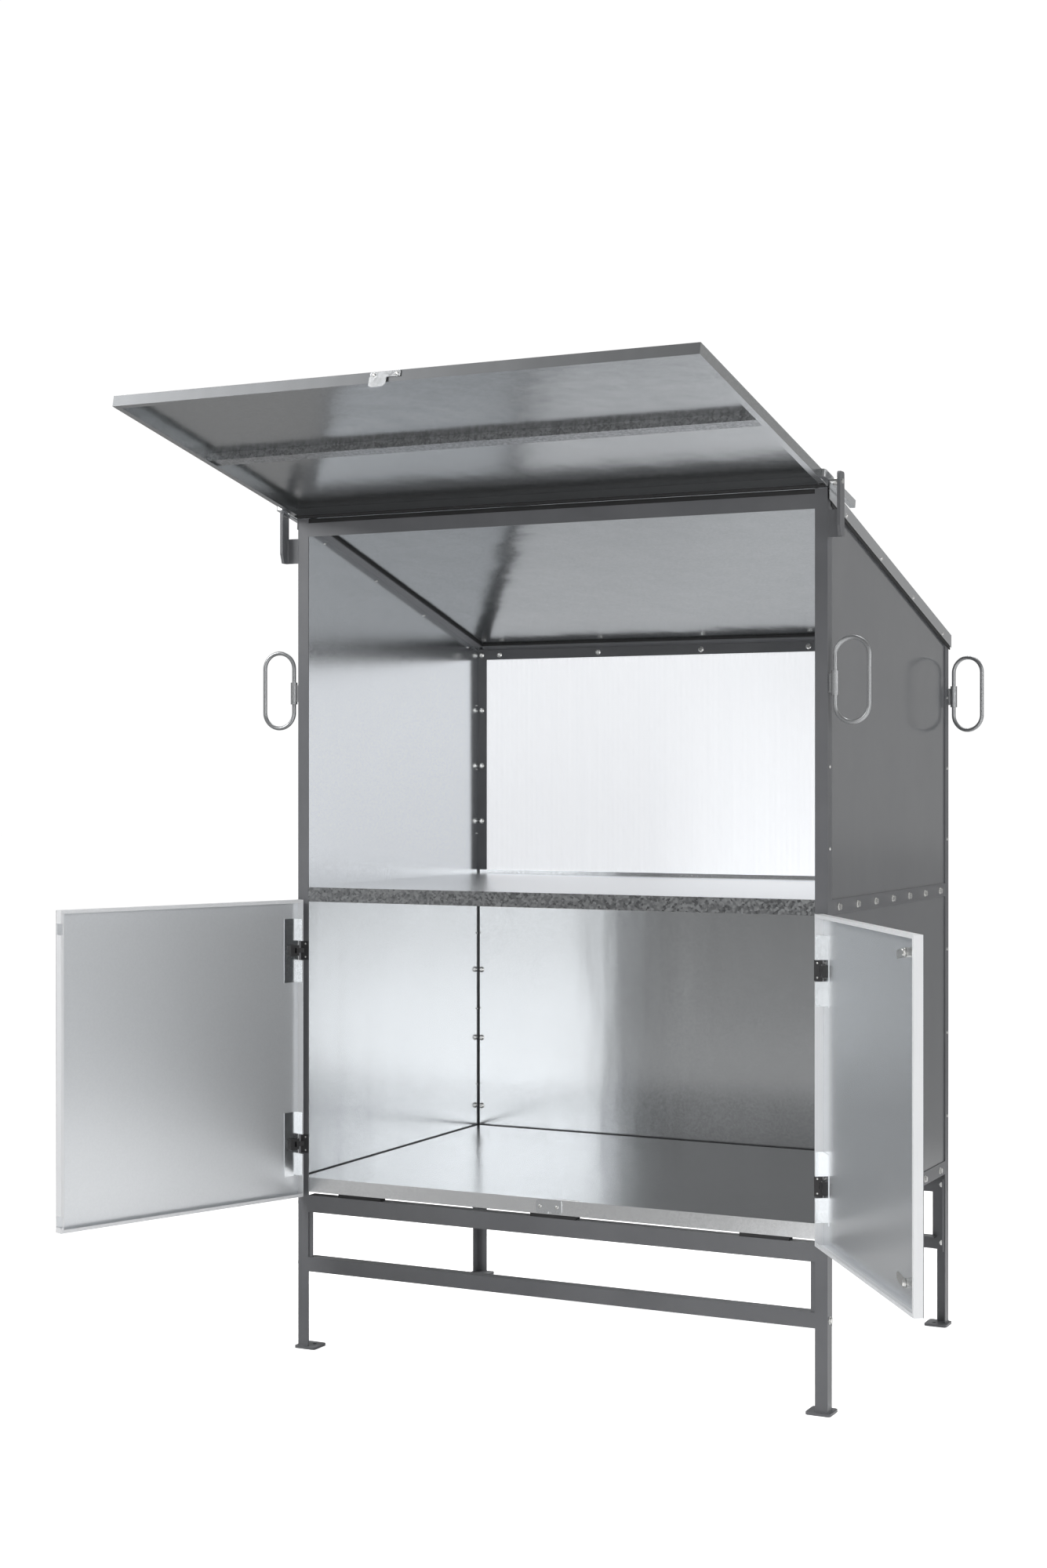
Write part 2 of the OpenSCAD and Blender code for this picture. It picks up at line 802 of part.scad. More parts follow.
// Straps welded to the posts, which carry the pivots
module flap_brackets() {
    chamfer = 24;
    color(PAINT) both_sides() difference() {
        union() {
            yz(-strap_in - strap_t, strap_t) translate([pivot_y, 0]) polygon([
                [-strap_w / 2, strap_bottom + chamfer], [-strap_w / 2 + 8, strap_bottom],
                [strap_w / 2, strap_bottom], [strap_w / 2, strap_top - 4],
                [strap_w / 2 - 4, strap_top], [-strap_w / 2 + 4, strap_top],
                [-strap_w / 2, strap_top - 4]
            ]);
            block([-strap_in - eps, -D2, strap_bottom], [-W2, -D2 + 4, gusset_top]);
        }
        translate([-strap_in, pivot_y, pivot_z]) rotate([0, 90, 0])
            cylinder(r = pin_r + run_gap, h = 30, center = true);
    }
}

// Shouldered pins: a thick middle between arm and strap, thin ends through both
module flap_pivot_pins() {
    inner = arm_out - arm_t - 3;
    color(BOLT) both_sides() translate([-inner, pivot_y, pivot_z]) rotate([0, -90, 0]) {
        cylinder(r = pin_r + 0.6, h = 2);
        cylinder(r = pin_r, h = strap_in + strap_t + 2 - inner);
        translate([0, 0, arm_out + 0.3 - inner])
            cylinder(r = pin_shoulder_r, h = strap_in - arm_out - 0.4);
    }
}

// ------------------------------------------------------------------- doors

module open_left() {
    translate([-hinge_x, hinge_y, 0]) rotate([0, 0, -left_open])
        translate([hinge_x, -hinge_y, 0]) children();
}

module open_right() {
    translate([hinge_x, hinge_y, 0]) rotate([0, 0, right_open])
        translate([-hinge_x, -hinge_y, 0]) mirror([1, 0, 0]) children();
}

// All of a door's pieces are drawn as the closed left door
module door_skin(locks) {
    difference() {
        block([-door_x1, door_out_y, door_z0], [-door_x0, door_out_y + door_t, door_z1]);
        if (locks) for (z = lock_zs)
            translate([-lock_x, door_out_y, z]) rotate([90, 0, 0])
                cylinder(r = lock_d / 2 + hole_gap, h = 10, center = true);
    }
}

module door_frame(edge_notches) {
    y0 = door_out_y + door_t;
    difference() {
        union() {
            for (z = [door_z0, door_z1 - door_t])
                block([-door_x1, y0, z], [-door_x0, door_rim_y, z + door_t]);
            for (x = [-door_x1, -door_x0 - door_t])
                block([x, y0, door_z0], [x + door_t, door_rim_y, door_z1]);
            block([-door_x1 + door_t, door_rim_y - door_t, door_z1 - door_return],
                  [-door_x0, door_rim_y, door_z1]);
            block([-door_x1 + door_t, door_rim_y - door_t, door_z0],
                  [-door_x0, door_rim_y, door_z0 + door_return]);
            block([-door_x0 - door_return, door_rim_y - door_t, door_z0],
                  [-door_x0, door_rim_y, door_z1]);
        }
        for (z = hinge_zs)
            block([-door_x1 - 1, y0 + 1, z - notch_h / 2],
                  [-door_x1 + door_t + 1, door_rim_y + 1, z + notch_h / 2]);
        if (edge_notches) for (z = edge_notch_zs)
            block([-door_x0 - 6, y0 + 2, z - 13], [-door_x0 + 1, door_rim_y + 1, z + 13]);
    }
}

edge_notch_zs = [floor_z - 21, shelf_z - 75];

// Angle plates that stiffen the pan's corner behind each hinge
module hinge_plates() {
    t = 1.2;
    x0 = -door_x1 + door_t;
    y0 = door_out_y + door_t;
    for (z = hinge_zs) difference() {
        union() {
            block([x0, y0, z - hinge_plate_h / 2], [x0 + hinge_plate_w, y0 + t, z + hinge_plate_h / 2]);
            block([x0, y0, z - hinge_plate_h / 2], [x0 + t, door_rim_y - 1, z + hinge_plate_h / 2]);
        }
        block([x0 - 1, y0 + t + 0.2, z - notch_h / 2], [x0 + t + 1, door_rim_y, z + notch_h / 2]);
    }
}

// The hinge's door leaf: a block with two outer knuckles round the pin
module hinge_leaves() {
    y_base = door_out_y + door_t + 1.2;
    for (z = hinge_zs) difference() {
        union() {
            block([-hinge_x + 5, y_base, z - hinge_body_h / 2],
                  [-hinge_x + 23, y_base + 9, z + hinge_body_h / 2]);
            for (s = [-1, 1]) translate([0, 0, z + s * (knuckle_h / 2 + 0.4) - (s < 0 ? 7 : 0)]) {
                translate([-hinge_x, hinge_y, 0]) cylinder(r = knuckle_r, h = 7);
                translate([-hinge_x, hinge_y - knuckle_r, 0]) cube([6, 2 * knuckle_r - 1, 7]);
            }
        }
        translate([-hinge_x, hinge_y, z - 30]) cylinder(r = hinge_pin_r + run_gap, h = 60);
        block([-hinge_x - 6, y_base + 0.8, z - knuckle_h / 2 - 0.4],
              [-hinge_x + 12, y_base + 12, z + knuckle_h / 2 + 0.4]);
    }
}

// The hinge's post leaf: a plate on the post and an arm to the middle knuckle
module hinge_post_leaves() {
    plate_t = 3.5;
    color(PLASTIC) both_sides() for (z = hinge_zs) difference() {
        union() {
            block([-hinge_x + 1.5, -D2 - plate_t, z - leaf_h / 2],
                  [-post_in_x + 1, -D2, z + leaf_h / 2]);
            translate([0, 0, z - knuckle_h / 2]) linear_extrude(knuckle_h) {
                translate([-hinge_x, hinge_y]) circle(knuckle_r);
                polygon([
                    [-hinge_x - 1, hinge_y + 3.6], [-hinge_x + 3.4, hinge_y + 1.4],
                    [-hinge_x + 11, -D2 - plate_t + eps], [-hinge_x + 5.5, -D2 - plate_t + eps]
                ]);
            }
        }
        translate([-hinge_x, hinge_y, z - 30]) cylinder(r = hinge_pin_r + run_gap, h = 60);
        for (s = [-1, 1])
            translate([-hinge_x + 15, -D2 - plate_t, z + s * (leaf_h / 2 - 7)]) rotate([-90, 0, 0])
                translate([0, 0, -1]) cylinder(r = 2.6, h = 2.2);
    }
}

module hinge_pins() {
    l = knuckle_h + 16;
    color(BOLT) both_sides() for (z = hinge_zs)
        translate([-hinge_x, hinge_y, z - l / 2]) cylinder(r = hinge_pin_r, h = l);
}

module left_door_skin() { color(PANEL) open_left() door_skin(false); }
module left_door_frame() { color(ALUMINIUM) open_left() door_frame(true); }
module left_hinge_plates() { color(ZINC) open_left() hinge_plates(); }
module left_hinge_leaves() { color(PLASTIC) open_left() hinge_leaves(); }
module right_door_skin() { color(PANEL) open_right() door_skin(true); }
module right_door_frame() { color(ALUMINIUM) open_right() door_frame(false); }
module right_hinge_plates() { color(ZINC) open_right() hinge_plates(); }
module right_hinge_leaves() { color(PLASTIC) open_right() hinge_leaves(); }

// Cam locks: rosette, threaded body, nut, and a bore for the spindle
lock_end_y = cam_y - 1.5;
module lock_bodies() {
    color(BOLT) open_right() for (z = lock_zs) translate([-lock_x, 0, z]) difference() {
        union() {
            translate([0, door_out_y, 0]) rotate([90, 0, 0]) cylinder(r = lock_d / 2 + 3, h = 2.5);
            translate([0, lock_end_y, 0]) rotate([90, 0, 0])
                cylinder(r = lock_d / 2, h = lock_end_y - door_out_y + eps);
            translate([0, door_out_y + door_t + 5, 0]) rotate([90, 0, 0])
                cylinder(r = lock_d / 2 + 5, h = 4.9, $fn = 6);
        }
        translate([0, lock_end_y + 1, 0]) rotate([90, 0, 0])
            cylinder(r = spindle_r + run_gap, h = lock_end_y - door_out_y - 2);
        translate([-4, door_out_y - 4, -1]) cube([8, 3, 2]);
    }
}

// A cam with its spindle and nut, its plate along +Z when locked
module lock_cam() {
    rotate([90, 0, 0]) {
        translate([0, 0, -cam_t]) linear_extrude(cam_t) {
            circle(cam_w / 2);
            translate([-cam_w / 2, 0]) square([cam_w, cam_l - 5]);
            polygon([
                [-cam_w / 2, cam_l - 5 - eps], [cam_w / 2, cam_l - 5 - eps],
                [cam_w / 2 - 4, cam_l], [-cam_w / 2 + 4, cam_l]
            ]);
        }
        cylinder(r = spindle_r, h = 14);
        translate([0, 0, -cam_t - 4]) cylinder(r = 6.5, h = 4.2, $fn = 6);
    }
}

module upper_lock_cam() {
    color(BOLT) open_right() translate([-lock_x, cam_y, lock_zs[1]])
        rotate([0, -cam_turn, 0]) lock_cam();
}

module lower_lock_cam() {
    color(BOLT) open_right() translate([-lock_x, cam_y, lock_zs[0]])
        rotate([0, 180 + cam_turn, 0]) lock_cam();
}

// ------------------------------------------------------------ carry rings

// The ring's inner straight is on the Z axis, and it reaches towards +X
module ring() {
    r = (ring_w - ring_rod) / 2;
    straight = ring_h - ring_w;
    for (x = [0, 2 * r]) translate([x, 0, -straight / 2]) cylinder(d = ring_rod, h = straight);
    for (s = [0, 1]) mirror([0, 0, s]) translate([r, 0, straight / 2]) rotate([90, 0, 0])
        rotate_extrude(angle = 180) translate([r, 0]) circle(d = ring_rod);
}

module place_ring(sx, sy, turn) {
    color(PAINT) translate([sx * ring_x, sy * ring_y, ring_z]) rotate([0, 0, turn]) ring();
}

module front_left_ring() { place_ring(-1, -1, 188); }
module front_right_ring() { place_ring(1, -1, 0); }
module rear_left_ring() { place_ring(-1, 1, 180); }
module rear_right_ring() { place_ring(1, 1, -10); }

module ring_sleeves() {
    color(PAINT) both_sides() front_and_back() difference() {
        translate([-ring_x, -ring_y, sleeve_z - sleeve_l / 2]) union() {
            cylinder(r = sleeve_r, h = sleeve_l);
            translate([0, -2.5, 6]) cube([ring_out, 5, sleeve_l - 12]);
        }
        translate([-ring_x, -ring_y, ring_z - ring_h])
            cylinder(r = ring_rod / 2 + run_gap, h = 2 * ring_h);
    }
}

// --------------------------------------------------------------- fasteners

module rail_bolts() {
    grip = angle_t + 2 * sheet_t;
    color(BOLT) for (s = [-1, 1]) for (i = [0:rail_bolts_per_side - 1])
        for (z = [mid_bolt_z, bottom_bolt_z]) out_x(s, rail_bolt_y(i), z) hex_bolt(bolt_r, grip);
}

// Round heads inside, nuts outside the window and the rear posts
module window_bolts() {
    color(BOLT) {
        rear_bolt_places() translate([0, panel_y, 0]) rotate([90, 0, 0])
            round_bolt(bolt_r, angle_t + window_t);
        lower_bolt_places() translate([0, tray_y, 0]) rotate([90, 0, 0])
            round_bolt(bolt_r, angle_t + sheet_t);
    }
}

module leg_bolts() {
    grip = 2 * angle_t;
    color(BOLT) for (s = [-1, 1]) for (z = leg_bolt_zs) {
        out_x(s, -D2 + flange_mid, z) hex_bolt(bolt_r, grip);
        out_y(s * (W2 - flange_mid), z) hex_bolt(bolt_r, grip);
    }
}

module panel_screws() {
    color(BOLT) for (s = [-1, 1]) for (f = [-1, 1]) for (z = concat(side_screw_zs, upper_screw_zs))
        out_x(s, f * (D2 - flange_mid), z) pan_screw(screw_r, angle_t + sheet_t + 3);
}

module roof_screws() {
    color(BOLT) for (s = [-1, 1]) for (i = [0:roof_screws_per_side - 1])
        out_x(s, roof_screw_y(i), roof_screw_z(roof_screw_y(i)), roof_x)
            pan_screw(roof_screw_r, roof_over + angle_t + sheet_t + 3);
}

// -------------------------------------------------------------------- show

front_left_post();
front_right_post();
rear_left_post();
rear_right_post();
foot_plates();
top_front_beam();
front_leg_beam();
front_stretcher();
rear_leg_beam();
rear_stretcher();
leg_uprights();
mid_rails();
bottom_rails();
roof_rails();
rear_top_rail();
left_upper_panel();
left_lower_panel();
right_upper_panel();
right_lower_panel();
rear_lower_panel();
rear_window();
roof_panel();
roof_seals();
front_seal();
shelf();
floor_tray();
floor_pads();
striker_plate();
striker_screws();
flap_brackets();
flap_pivot_pins();
ring_sleeves();
hinge_post_leaves();
hinge_pins();
rail_bolts();
window_bolts();
leg_bolts();
panel_screws();
roof_screws();
flap_panel();
flap_rib();
flap_arms();
flap_latch();
flap_latch_screws();
left_door_skin();
left_door_frame();
left_hinge_plates();
left_hinge_leaves();
right_door_skin();
right_door_frame();
right_hinge_plates();
right_hinge_leaves();
lock_bodies();
upper_lock_cam();
lower_lock_cam();
front_left_ring();
front_right_ring();
rear_left_ring();
rear_right_ring();
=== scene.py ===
# %% [markdown]
# A steel garden cabinet, finished as in a workshop
#
# The frame, sheets, doors, flap, hinges and locks come ready-made from the CAD
# model. This lesson loads them, lights them like a product picture, and gives
# each one the finish that a maker would: anthracite paint on angle iron,
# spangled zinc on folded sheet, and opal twin-wall sheet in the rear window.
# The shapes that a CAD drawing leaves out, such as weld beads, rubber lips,
# screw recesses and the window's flutes, are worked out here with numpy.

# %% Load the CAD frame
import json
import math

import bmesh
import bpy
import numpy as np
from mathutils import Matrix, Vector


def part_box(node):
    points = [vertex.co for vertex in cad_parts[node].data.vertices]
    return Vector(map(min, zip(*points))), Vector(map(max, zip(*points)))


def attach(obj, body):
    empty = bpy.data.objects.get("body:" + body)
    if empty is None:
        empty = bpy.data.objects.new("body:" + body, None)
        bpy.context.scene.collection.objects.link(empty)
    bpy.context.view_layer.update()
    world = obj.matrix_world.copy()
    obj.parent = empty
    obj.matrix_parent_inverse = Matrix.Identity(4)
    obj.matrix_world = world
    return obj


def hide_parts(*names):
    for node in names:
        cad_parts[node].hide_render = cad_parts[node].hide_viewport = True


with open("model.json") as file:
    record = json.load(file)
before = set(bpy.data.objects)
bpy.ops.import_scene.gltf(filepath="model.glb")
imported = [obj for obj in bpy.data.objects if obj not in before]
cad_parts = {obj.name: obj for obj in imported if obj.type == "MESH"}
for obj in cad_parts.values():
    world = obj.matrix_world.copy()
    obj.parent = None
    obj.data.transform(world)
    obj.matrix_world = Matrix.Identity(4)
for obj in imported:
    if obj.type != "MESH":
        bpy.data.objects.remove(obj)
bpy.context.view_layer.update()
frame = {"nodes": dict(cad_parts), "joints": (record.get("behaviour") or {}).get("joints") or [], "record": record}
nodes = frame["nodes"]
MM = 0.001


def corners_of(node):
    """The low and high corner of a CAD node's box at rest, as arrays."""
    return [np.array(corner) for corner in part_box(node)]


# %% [markdown]
# The camera stands to the right of the front, level, at the height of a
# standing person's chest. A level camera keeps all the posts upright in the
# picture, as an architect's drawing does.

# %% Camera
CAMERA_PLACE = (2.3675, -5.3777, 1.4349)
CAMERA_YAW = 26.45  # degrees to the left of straight ahead
camera_data = bpy.data.cameras.new("camera")
camera_data.sensor_width = 36.0
camera_data.lens = 52.2
camera_data.shift_y = -0.003
camera = bpy.data.objects.new("camera", camera_data)
camera.location = CAMERA_PLACE
camera.rotation_euler = (math.radians(90), 0, math.radians(CAMERA_YAW))
scene = bpy.context.scene
scene.collection.objects.link(camera)
scene.camera = camera

# %% [markdown]
# Light: bare zinc mirrors whatever surrounds it, so the room matters more than
# the lamps. Here the room is dim in front and brighter behind, as in a studio
# where the lamps stand near the backdrop. The camera itself sees plain white
# behind the cabinet. Two low wide lamps in front, to the right, are what the
# cupboard's zinc mirrors as its long soft highlight. A high one on the left
# and one overhead fill the picture, and a wide one lights the painted side.

# %% Lights
ROOM_FRONT = 0.16
ROOM_BACK = 0.42
scene.view_settings.view_transform = "Standard"
world = bpy.data.worlds.new("studio")
scene.world = world
world.use_nodes = True
room = world.node_tree
surround = room.nodes["Background"]
surround.inputs["Color"].default_value = (1.0, 1.0, 1.0, 1)
surround.inputs["Strength"].default_value = 1.0
direction = room.nodes.new("ShaderNodeTexCoord")
parts = room.nodes.new("ShaderNodeSeparateXYZ")
front_to_back = room.nodes.new("ShaderNodeMapRange")
front_to_back.inputs["From Min"].default_value = -0.9
front_to_back.inputs["From Max"].default_value = 0.5
front_to_back.inputs["To Min"].default_value = ROOM_FRONT
front_to_back.inputs["To Max"].default_value = ROOM_BACK
seen = room.nodes.new("ShaderNodeLightPath")
choose = room.nodes.new("ShaderNodeMix")
choose.data_type = "FLOAT"
choose.inputs["B"].default_value = 1.02
room.links.new(direction.outputs["Generated"], parts.inputs["Vector"])
room.links.new(parts.outputs["Y"], front_to_back.inputs["Value"])
room.links.new(front_to_back.outputs["Result"], choose.inputs["A"])
room.links.new(seen.outputs["Is Camera Ray"], choose.inputs["Factor"])
room.links.new(choose.outputs["Result"], surround.inputs["Strength"])


def soft_lamp(name, place, target, width, height, power):
    """A rectangular area lamp at place, turned so that it faces target."""
    data = bpy.data.lights.new(name, "AREA")
    data.shape = "RECTANGLE"
    data.size = width
    data.size_y = height
    data.energy = power
    lamp = bpy.data.objects.new(name, data)
    away = np.array(target, float) - np.array(place, float)
    yaw = math.atan2(away[1], away[0]) - math.pi / 2
    tilt = math.atan2(math.hypot(away[0], away[1]), -away[2])
    lamp.location = place
    lamp.rotation_euler = (tilt, 0, yaw)
    lamp.visible_camera = False
    scene.collection.objects.link(lamp)
    return lamp


soft_lamp("low_front", (1.45, -3.5, 0.30), (-0.2, 0.2, 0.30), 2.4, 0.6, 4.2)
soft_lamp("mid_front", (1.35, -3.5, 1.42), (-0.2, 0.2, 1.0), 1.7, 0.75, 13)
soft_lamp("edge_left", (-2.1, -3.2, 0.6), (-0.3, 0.3, 0.6), 0.3, 1.1, 0.9)
soft_lamp("high_left", (-3.2, -3.2, 3.9), (0, 0, 1.1), 2.0, 1.6, 150)
soft_lamp("wide_right", (4.8, -1.6, 2.5), (0.5, 0, 1.6), 2.2, 1.8, 50)
soft_lamp("overhead", (0.0, 1.8, 5.2), (0, 0, 1.5), 3.0, 2.5, 110)

# %% [markdown]
# The cabinet stands on one big square. It is far wider than the view, so its edges are never seen.

# %% Floor
FLOOR_HALF = 40.0
floor_mesh = bpy.data.meshes.new("floor")
square = [(-1, -1), (1, -1), (1, 1), (-1, 1)]
floor_mesh.from_pydata([(x * FLOOR_HALF, y * FLOOR_HALF, 0) for x, y in square], [], [(0, 1, 2, 3)])
floor = bpy.data.objects.new("floor", floor_mesh)
scene.collection.objects.link(floor)

# %% [markdown]
# Shader building blocks. An effect that several finishes share is a node
# group: spangle for hot-dip zinc, orange peel for sprayed paint, rolling
# marks for drawn metal, the waves of thin sheet, a mask for the faces that
# look one way, and a thin film of dust. Each group gives out a mask or a
# height only, and every finish mixes its own colours with them.


# %% Node helpers
def add_node(tree, kind, settings=None, **values):
    """A node of that kind, with attributes from settings and sockets from values."""
    node = tree.nodes.new(kind)
    for name, value in (settings or {}).items():
        setattr(node, name, value)
    for name, value in values.items():
        node.inputs[name.replace("_", " ")].default_value = value
    return node


def new_group(name, inputs, outputs):
    """An empty node group with float or vector inputs {name: default} and float outputs."""
    group = bpy.data.node_groups.new(name, "ShaderNodeTree")
    for label, default in inputs.items():
        kind = "NodeSocketVector" if default is None else "NodeSocketFloat"
        socket = group.interface.new_socket(label, in_out="INPUT", socket_type=kind)
        if default is not None:
            socket.default_value = default
    for label in outputs:
        group.interface.new_socket(label, in_out="OUTPUT", socket_type="NodeSocketFloat")
    return group, group.nodes.new("NodeGroupInput"), group.nodes.new("NodeGroupOutput")


def place_group(tree, group, vector, **values):
    """The group as a node in a material, fed by that vector socket."""
    node = tree.nodes.new("ShaderNodeGroup")
    node.node_tree = group
    tree.links.new(vector, node.inputs["Vector"])
    for name, value in values.items():
        node.inputs[name].default_value = value
    return node


def scale_vector(tree, vector, factor):
    """vector times a float socket, on all three axes."""
    node = add_node(tree, "ShaderNodeVectorMath", {"operation": "SCALE"})
    tree.links.new(vector, node.inputs[0])
    tree.links.new(factor, node.inputs["Scale"])
    return node.outputs["Vector"]


# %% Spangle: frosted crystals of hot-dip zinc
spangle, g_in, g_out = new_group("zinc_spangle", {"Vector": None, "Per metre": 60.0},
                                 ["Shade", "Height"])
crystals = add_node(spangle, "ShaderNodeTexVoronoi", {"feature": "F1", "distance": "EUCLIDEAN"},
                    Scale=1.0, Randomness=1.0)
warp = add_node(spangle, "ShaderNodeTexNoise", Scale=2.2, Detail=3.0, Roughness=0.6)
grey = add_node(spangle, "ShaderNodeSeparateColor")
fine = add_node(spangle, "ShaderNodeTexNoise", Scale=9.0, Detail=4.0, Roughness=0.65)
sum_up = add_node(spangle, "ShaderNodeMath", {"operation": "MULTIPLY_ADD"})
sum_up.inputs[1].default_value = 0.55
halve = add_node(spangle, "ShaderNodeMath", {"operation": "MULTIPLY"})
halve.inputs[1].default_value = 0.45
coords = scale_vector(spangle, g_in.outputs["Vector"], g_in.outputs["Per metre"])
link = spangle.links.new
link(coords, warp.inputs["Vector"])
link(coords, fine.inputs["Vector"])
offset = add_node(spangle, "ShaderNodeVectorMath", {"operation": "ADD"})
link(coords, offset.inputs[0])
link(warp.outputs["Color"], offset.inputs[1])
link(offset.outputs["Vector"], crystals.inputs["Vector"])
link(crystals.outputs["Color"], grey.inputs["Color"])
link(fine.outputs["Fac"], halve.inputs[0])
link(grey.outputs["Red"], sum_up.inputs[0])
link(halve.outputs["Value"], sum_up.inputs[2])
link(sum_up.outputs["Value"], g_out.inputs["Shade"])
link(crystals.outputs["Distance"], g_out.inputs["Height"])

# %% Orange peel: the skin of sprayed or baked paint
peel, g_in, g_out = new_group("orange_peel", {"Vector": None, "Per metre": 500.0}, ["Height", "Shade"])
coords = scale_vector(peel, g_in.outputs["Vector"], g_in.outputs["Per metre"])
bumps = add_node(peel, "ShaderNodeTexNoise", Scale=1.0, Detail=2.0, Roughness=0.45)
broad = add_node(peel, "ShaderNodeTexNoise", Scale=0.012, Detail=3.0, Roughness=0.5)
peel.links.new(coords, bumps.inputs["Vector"])
peel.links.new(coords, broad.inputs["Vector"])
peel.links.new(bumps.outputs["Fac"], g_out.inputs["Height"])
peel.links.new(broad.outputs["Fac"], g_out.inputs["Shade"])

# %% Rolling marks: fine lines drawn along one axis
rolling, g_in, g_out = new_group("rolling_marks", {"Vector": None, "Per metre": 300.0}, ["Shade"])
coords = scale_vector(rolling, g_in.outputs["Vector"], g_in.outputs["Per metre"])
squeeze = add_node(rolling, "ShaderNodeMapping")
squeeze.inputs["Scale"].default_value = (1.0, 1.0, 0.012)
lines = add_node(rolling, "ShaderNodeTexNoise", Scale=1.0, Detail=5.0, Roughness=0.7)
rolling.links.new(coords, squeeze.inputs["Vector"])
rolling.links.new(squeeze.outputs["Vector"], lines.inputs["Vector"])
rolling.links.new(lines.outputs["Fac"], g_out.inputs["Shade"])

# %% Sheet waves: thin sheet is never quite flat
waves, g_in, g_out = new_group("sheet_waves", {"Vector": None, "Per metre": 5.0}, ["Height"])
coords = scale_vector(waves, g_in.outputs["Vector"], g_in.outputs["Per metre"])
lengthen = add_node(waves, "ShaderNodeMapping")
lengthen.inputs["Scale"].default_value = (1.0, 1.0, 0.22)
swell = add_node(waves, "ShaderNodeTexNoise", Scale=1.0, Detail=2.5, Roughness=0.45)
waves.links.new(coords, lengthen.inputs["Vector"])
waves.links.new(lengthen.outputs["Vector"], swell.inputs["Vector"])
waves.links.new(swell.outputs["Fac"], g_out.inputs["Height"])

# %% Facing: one where the surface looks along a direction
facing, g_in, g_out = new_group("facing_mask", {"Vector": None, "Direction": None, "Above": 0.8}, ["Mask"])
along = add_node(facing, "ShaderNodeVectorMath", {"operation": "DOT_PRODUCT"})
above = add_node(facing, "ShaderNodeMath", {"operation": "GREATER_THAN"})
facing.links.new(g_in.outputs["Vector"], along.inputs[0])
facing.links.new(g_in.outputs["Direction"], along.inputs[1])
facing.links.new(along.outputs["Value"], above.inputs[0])
facing.links.new(g_in.outputs["Above"], above.inputs[1])
facing.links.new(above.outputs["Value"], g_out.inputs["Mask"])

# %% Dust: settles in broad soft patches
dust, g_in, g_out = new_group("dust_film", {"Vector": None, "Per metre": 3.0}, ["Mask"])
coords = scale_vector(dust, g_in.outputs["Vector"], g_in.outputs["Per metre"])
patches = add_node(dust, "ShaderNodeTexNoise", Scale=1.0, Detail=6.0, Roughness=0.62)
level = add_node(dust, "ShaderNodeMapRange", From_Min=0.42, From_Max=0.72)
dust.links.new(coords, patches.inputs["Vector"])
dust.links.new(patches.outputs["Fac"], level.inputs["Value"])
dust.links.new(level.outputs["Result"], g_out.inputs["Mask"])

# %% [markdown]
# A finish is one Principled shader with four things that change over the
# surface: colour between two tones, roughness between two values, a bump
# height, and a dusting. Metal and paint differ only in those numbers and in
# the group that drives them, so one function builds them all.


# %% Finish builder
def bend_sheet(tree, vector, wave):
    """Adds the long low waves of thin sheet to the shader's normal."""
    shader = tree.nodes["Principled BSDF"]
    swells = place_group(tree, waves, vector, **{"Per metre": 7.0})
    bend = add_node(tree, "ShaderNodeBump", Strength=wave, Distance=0.004)
    tree.links.new(swells.outputs["Height"], bend.inputs["Height"])
    if shader.inputs["Normal"].links:
        tree.links.new(shader.inputs["Normal"].links[0].from_socket, bend.inputs["Normal"])
    tree.links.new(bend.outputs["Normal"], shader.inputs["Normal"])


def finish(name, group, mask, tones, rough, per_metre, bump=0.0, height="Height",
           metallic=0.0, coat=0.0, dusty=0.1, dust_tone=(0.45, 0.45, 0.44), wave=0.0):
    """A material whose colour runs from tones[0] to tones[1] and whose roughness runs from
    rough[0] to rough[1] with the group's mask, over Object coordinates. bump lifts the group's
    height, and wave bends the whole sheet a little."""
    material = bpy.data.materials.new(name)
    material.use_nodes = True
    tree = material.node_tree
    shader = tree.nodes["Principled BSDF"]
    shader.inputs["Metallic"].default_value = metallic
    shader.inputs["Coat Weight"].default_value = coat
    shader.inputs["Coat Roughness"].default_value = 0.12
    place = add_node(tree, "ShaderNodeTexCoord")
    marks = place_group(tree, group, place.outputs["Object"], **{"Per metre": per_metre})
    film = place_group(tree, dust, place.outputs["Object"], **{"Per metre": 3.0})
    tone = add_node(tree, "ShaderNodeMix", {"data_type": "RGBA"})
    tone.inputs["A"].default_value = (*tones[0], 1)
    tone.inputs["B"].default_value = (*tones[1], 1)
    dusted = add_node(tree, "ShaderNodeMix", {"data_type": "RGBA"})
    dusted.inputs["B"].default_value = (*dust_tone, 1)
    share = add_node(tree, "ShaderNodeMath", {"operation": "MULTIPLY"})
    share.inputs[1].default_value = dusty
    gloss = add_node(tree, "ShaderNodeMapRange", To_Min=rough[0], To_Max=rough[1])
    tree.links.new(marks.outputs[mask], tone.inputs["Factor"])
    tree.links.new(film.outputs["Mask"], share.inputs[0])
    tree.links.new(share.outputs["Value"], dusted.inputs["Factor"])
    tree.links.new(tone.outputs["Result"], dusted.inputs["A"])
    tree.links.new(dusted.outputs["Result"], shader.inputs["Base Color"])
    tree.links.new(marks.outputs[mask], gloss.inputs["Value"])
    tree.links.new(gloss.outputs["Result"], shader.inputs["Roughness"])
    if bump:
        lift = add_node(tree, "ShaderNodeBump", Strength=bump, Distance=0.0006)
        tree.links.new(marks.outputs[height], lift.inputs["Height"])
        tree.links.new(lift.outputs["Normal"], shader.inputs["Normal"])
    if wave:
        bend_sheet(tree, place.outputs["Object"], wave)
    return material
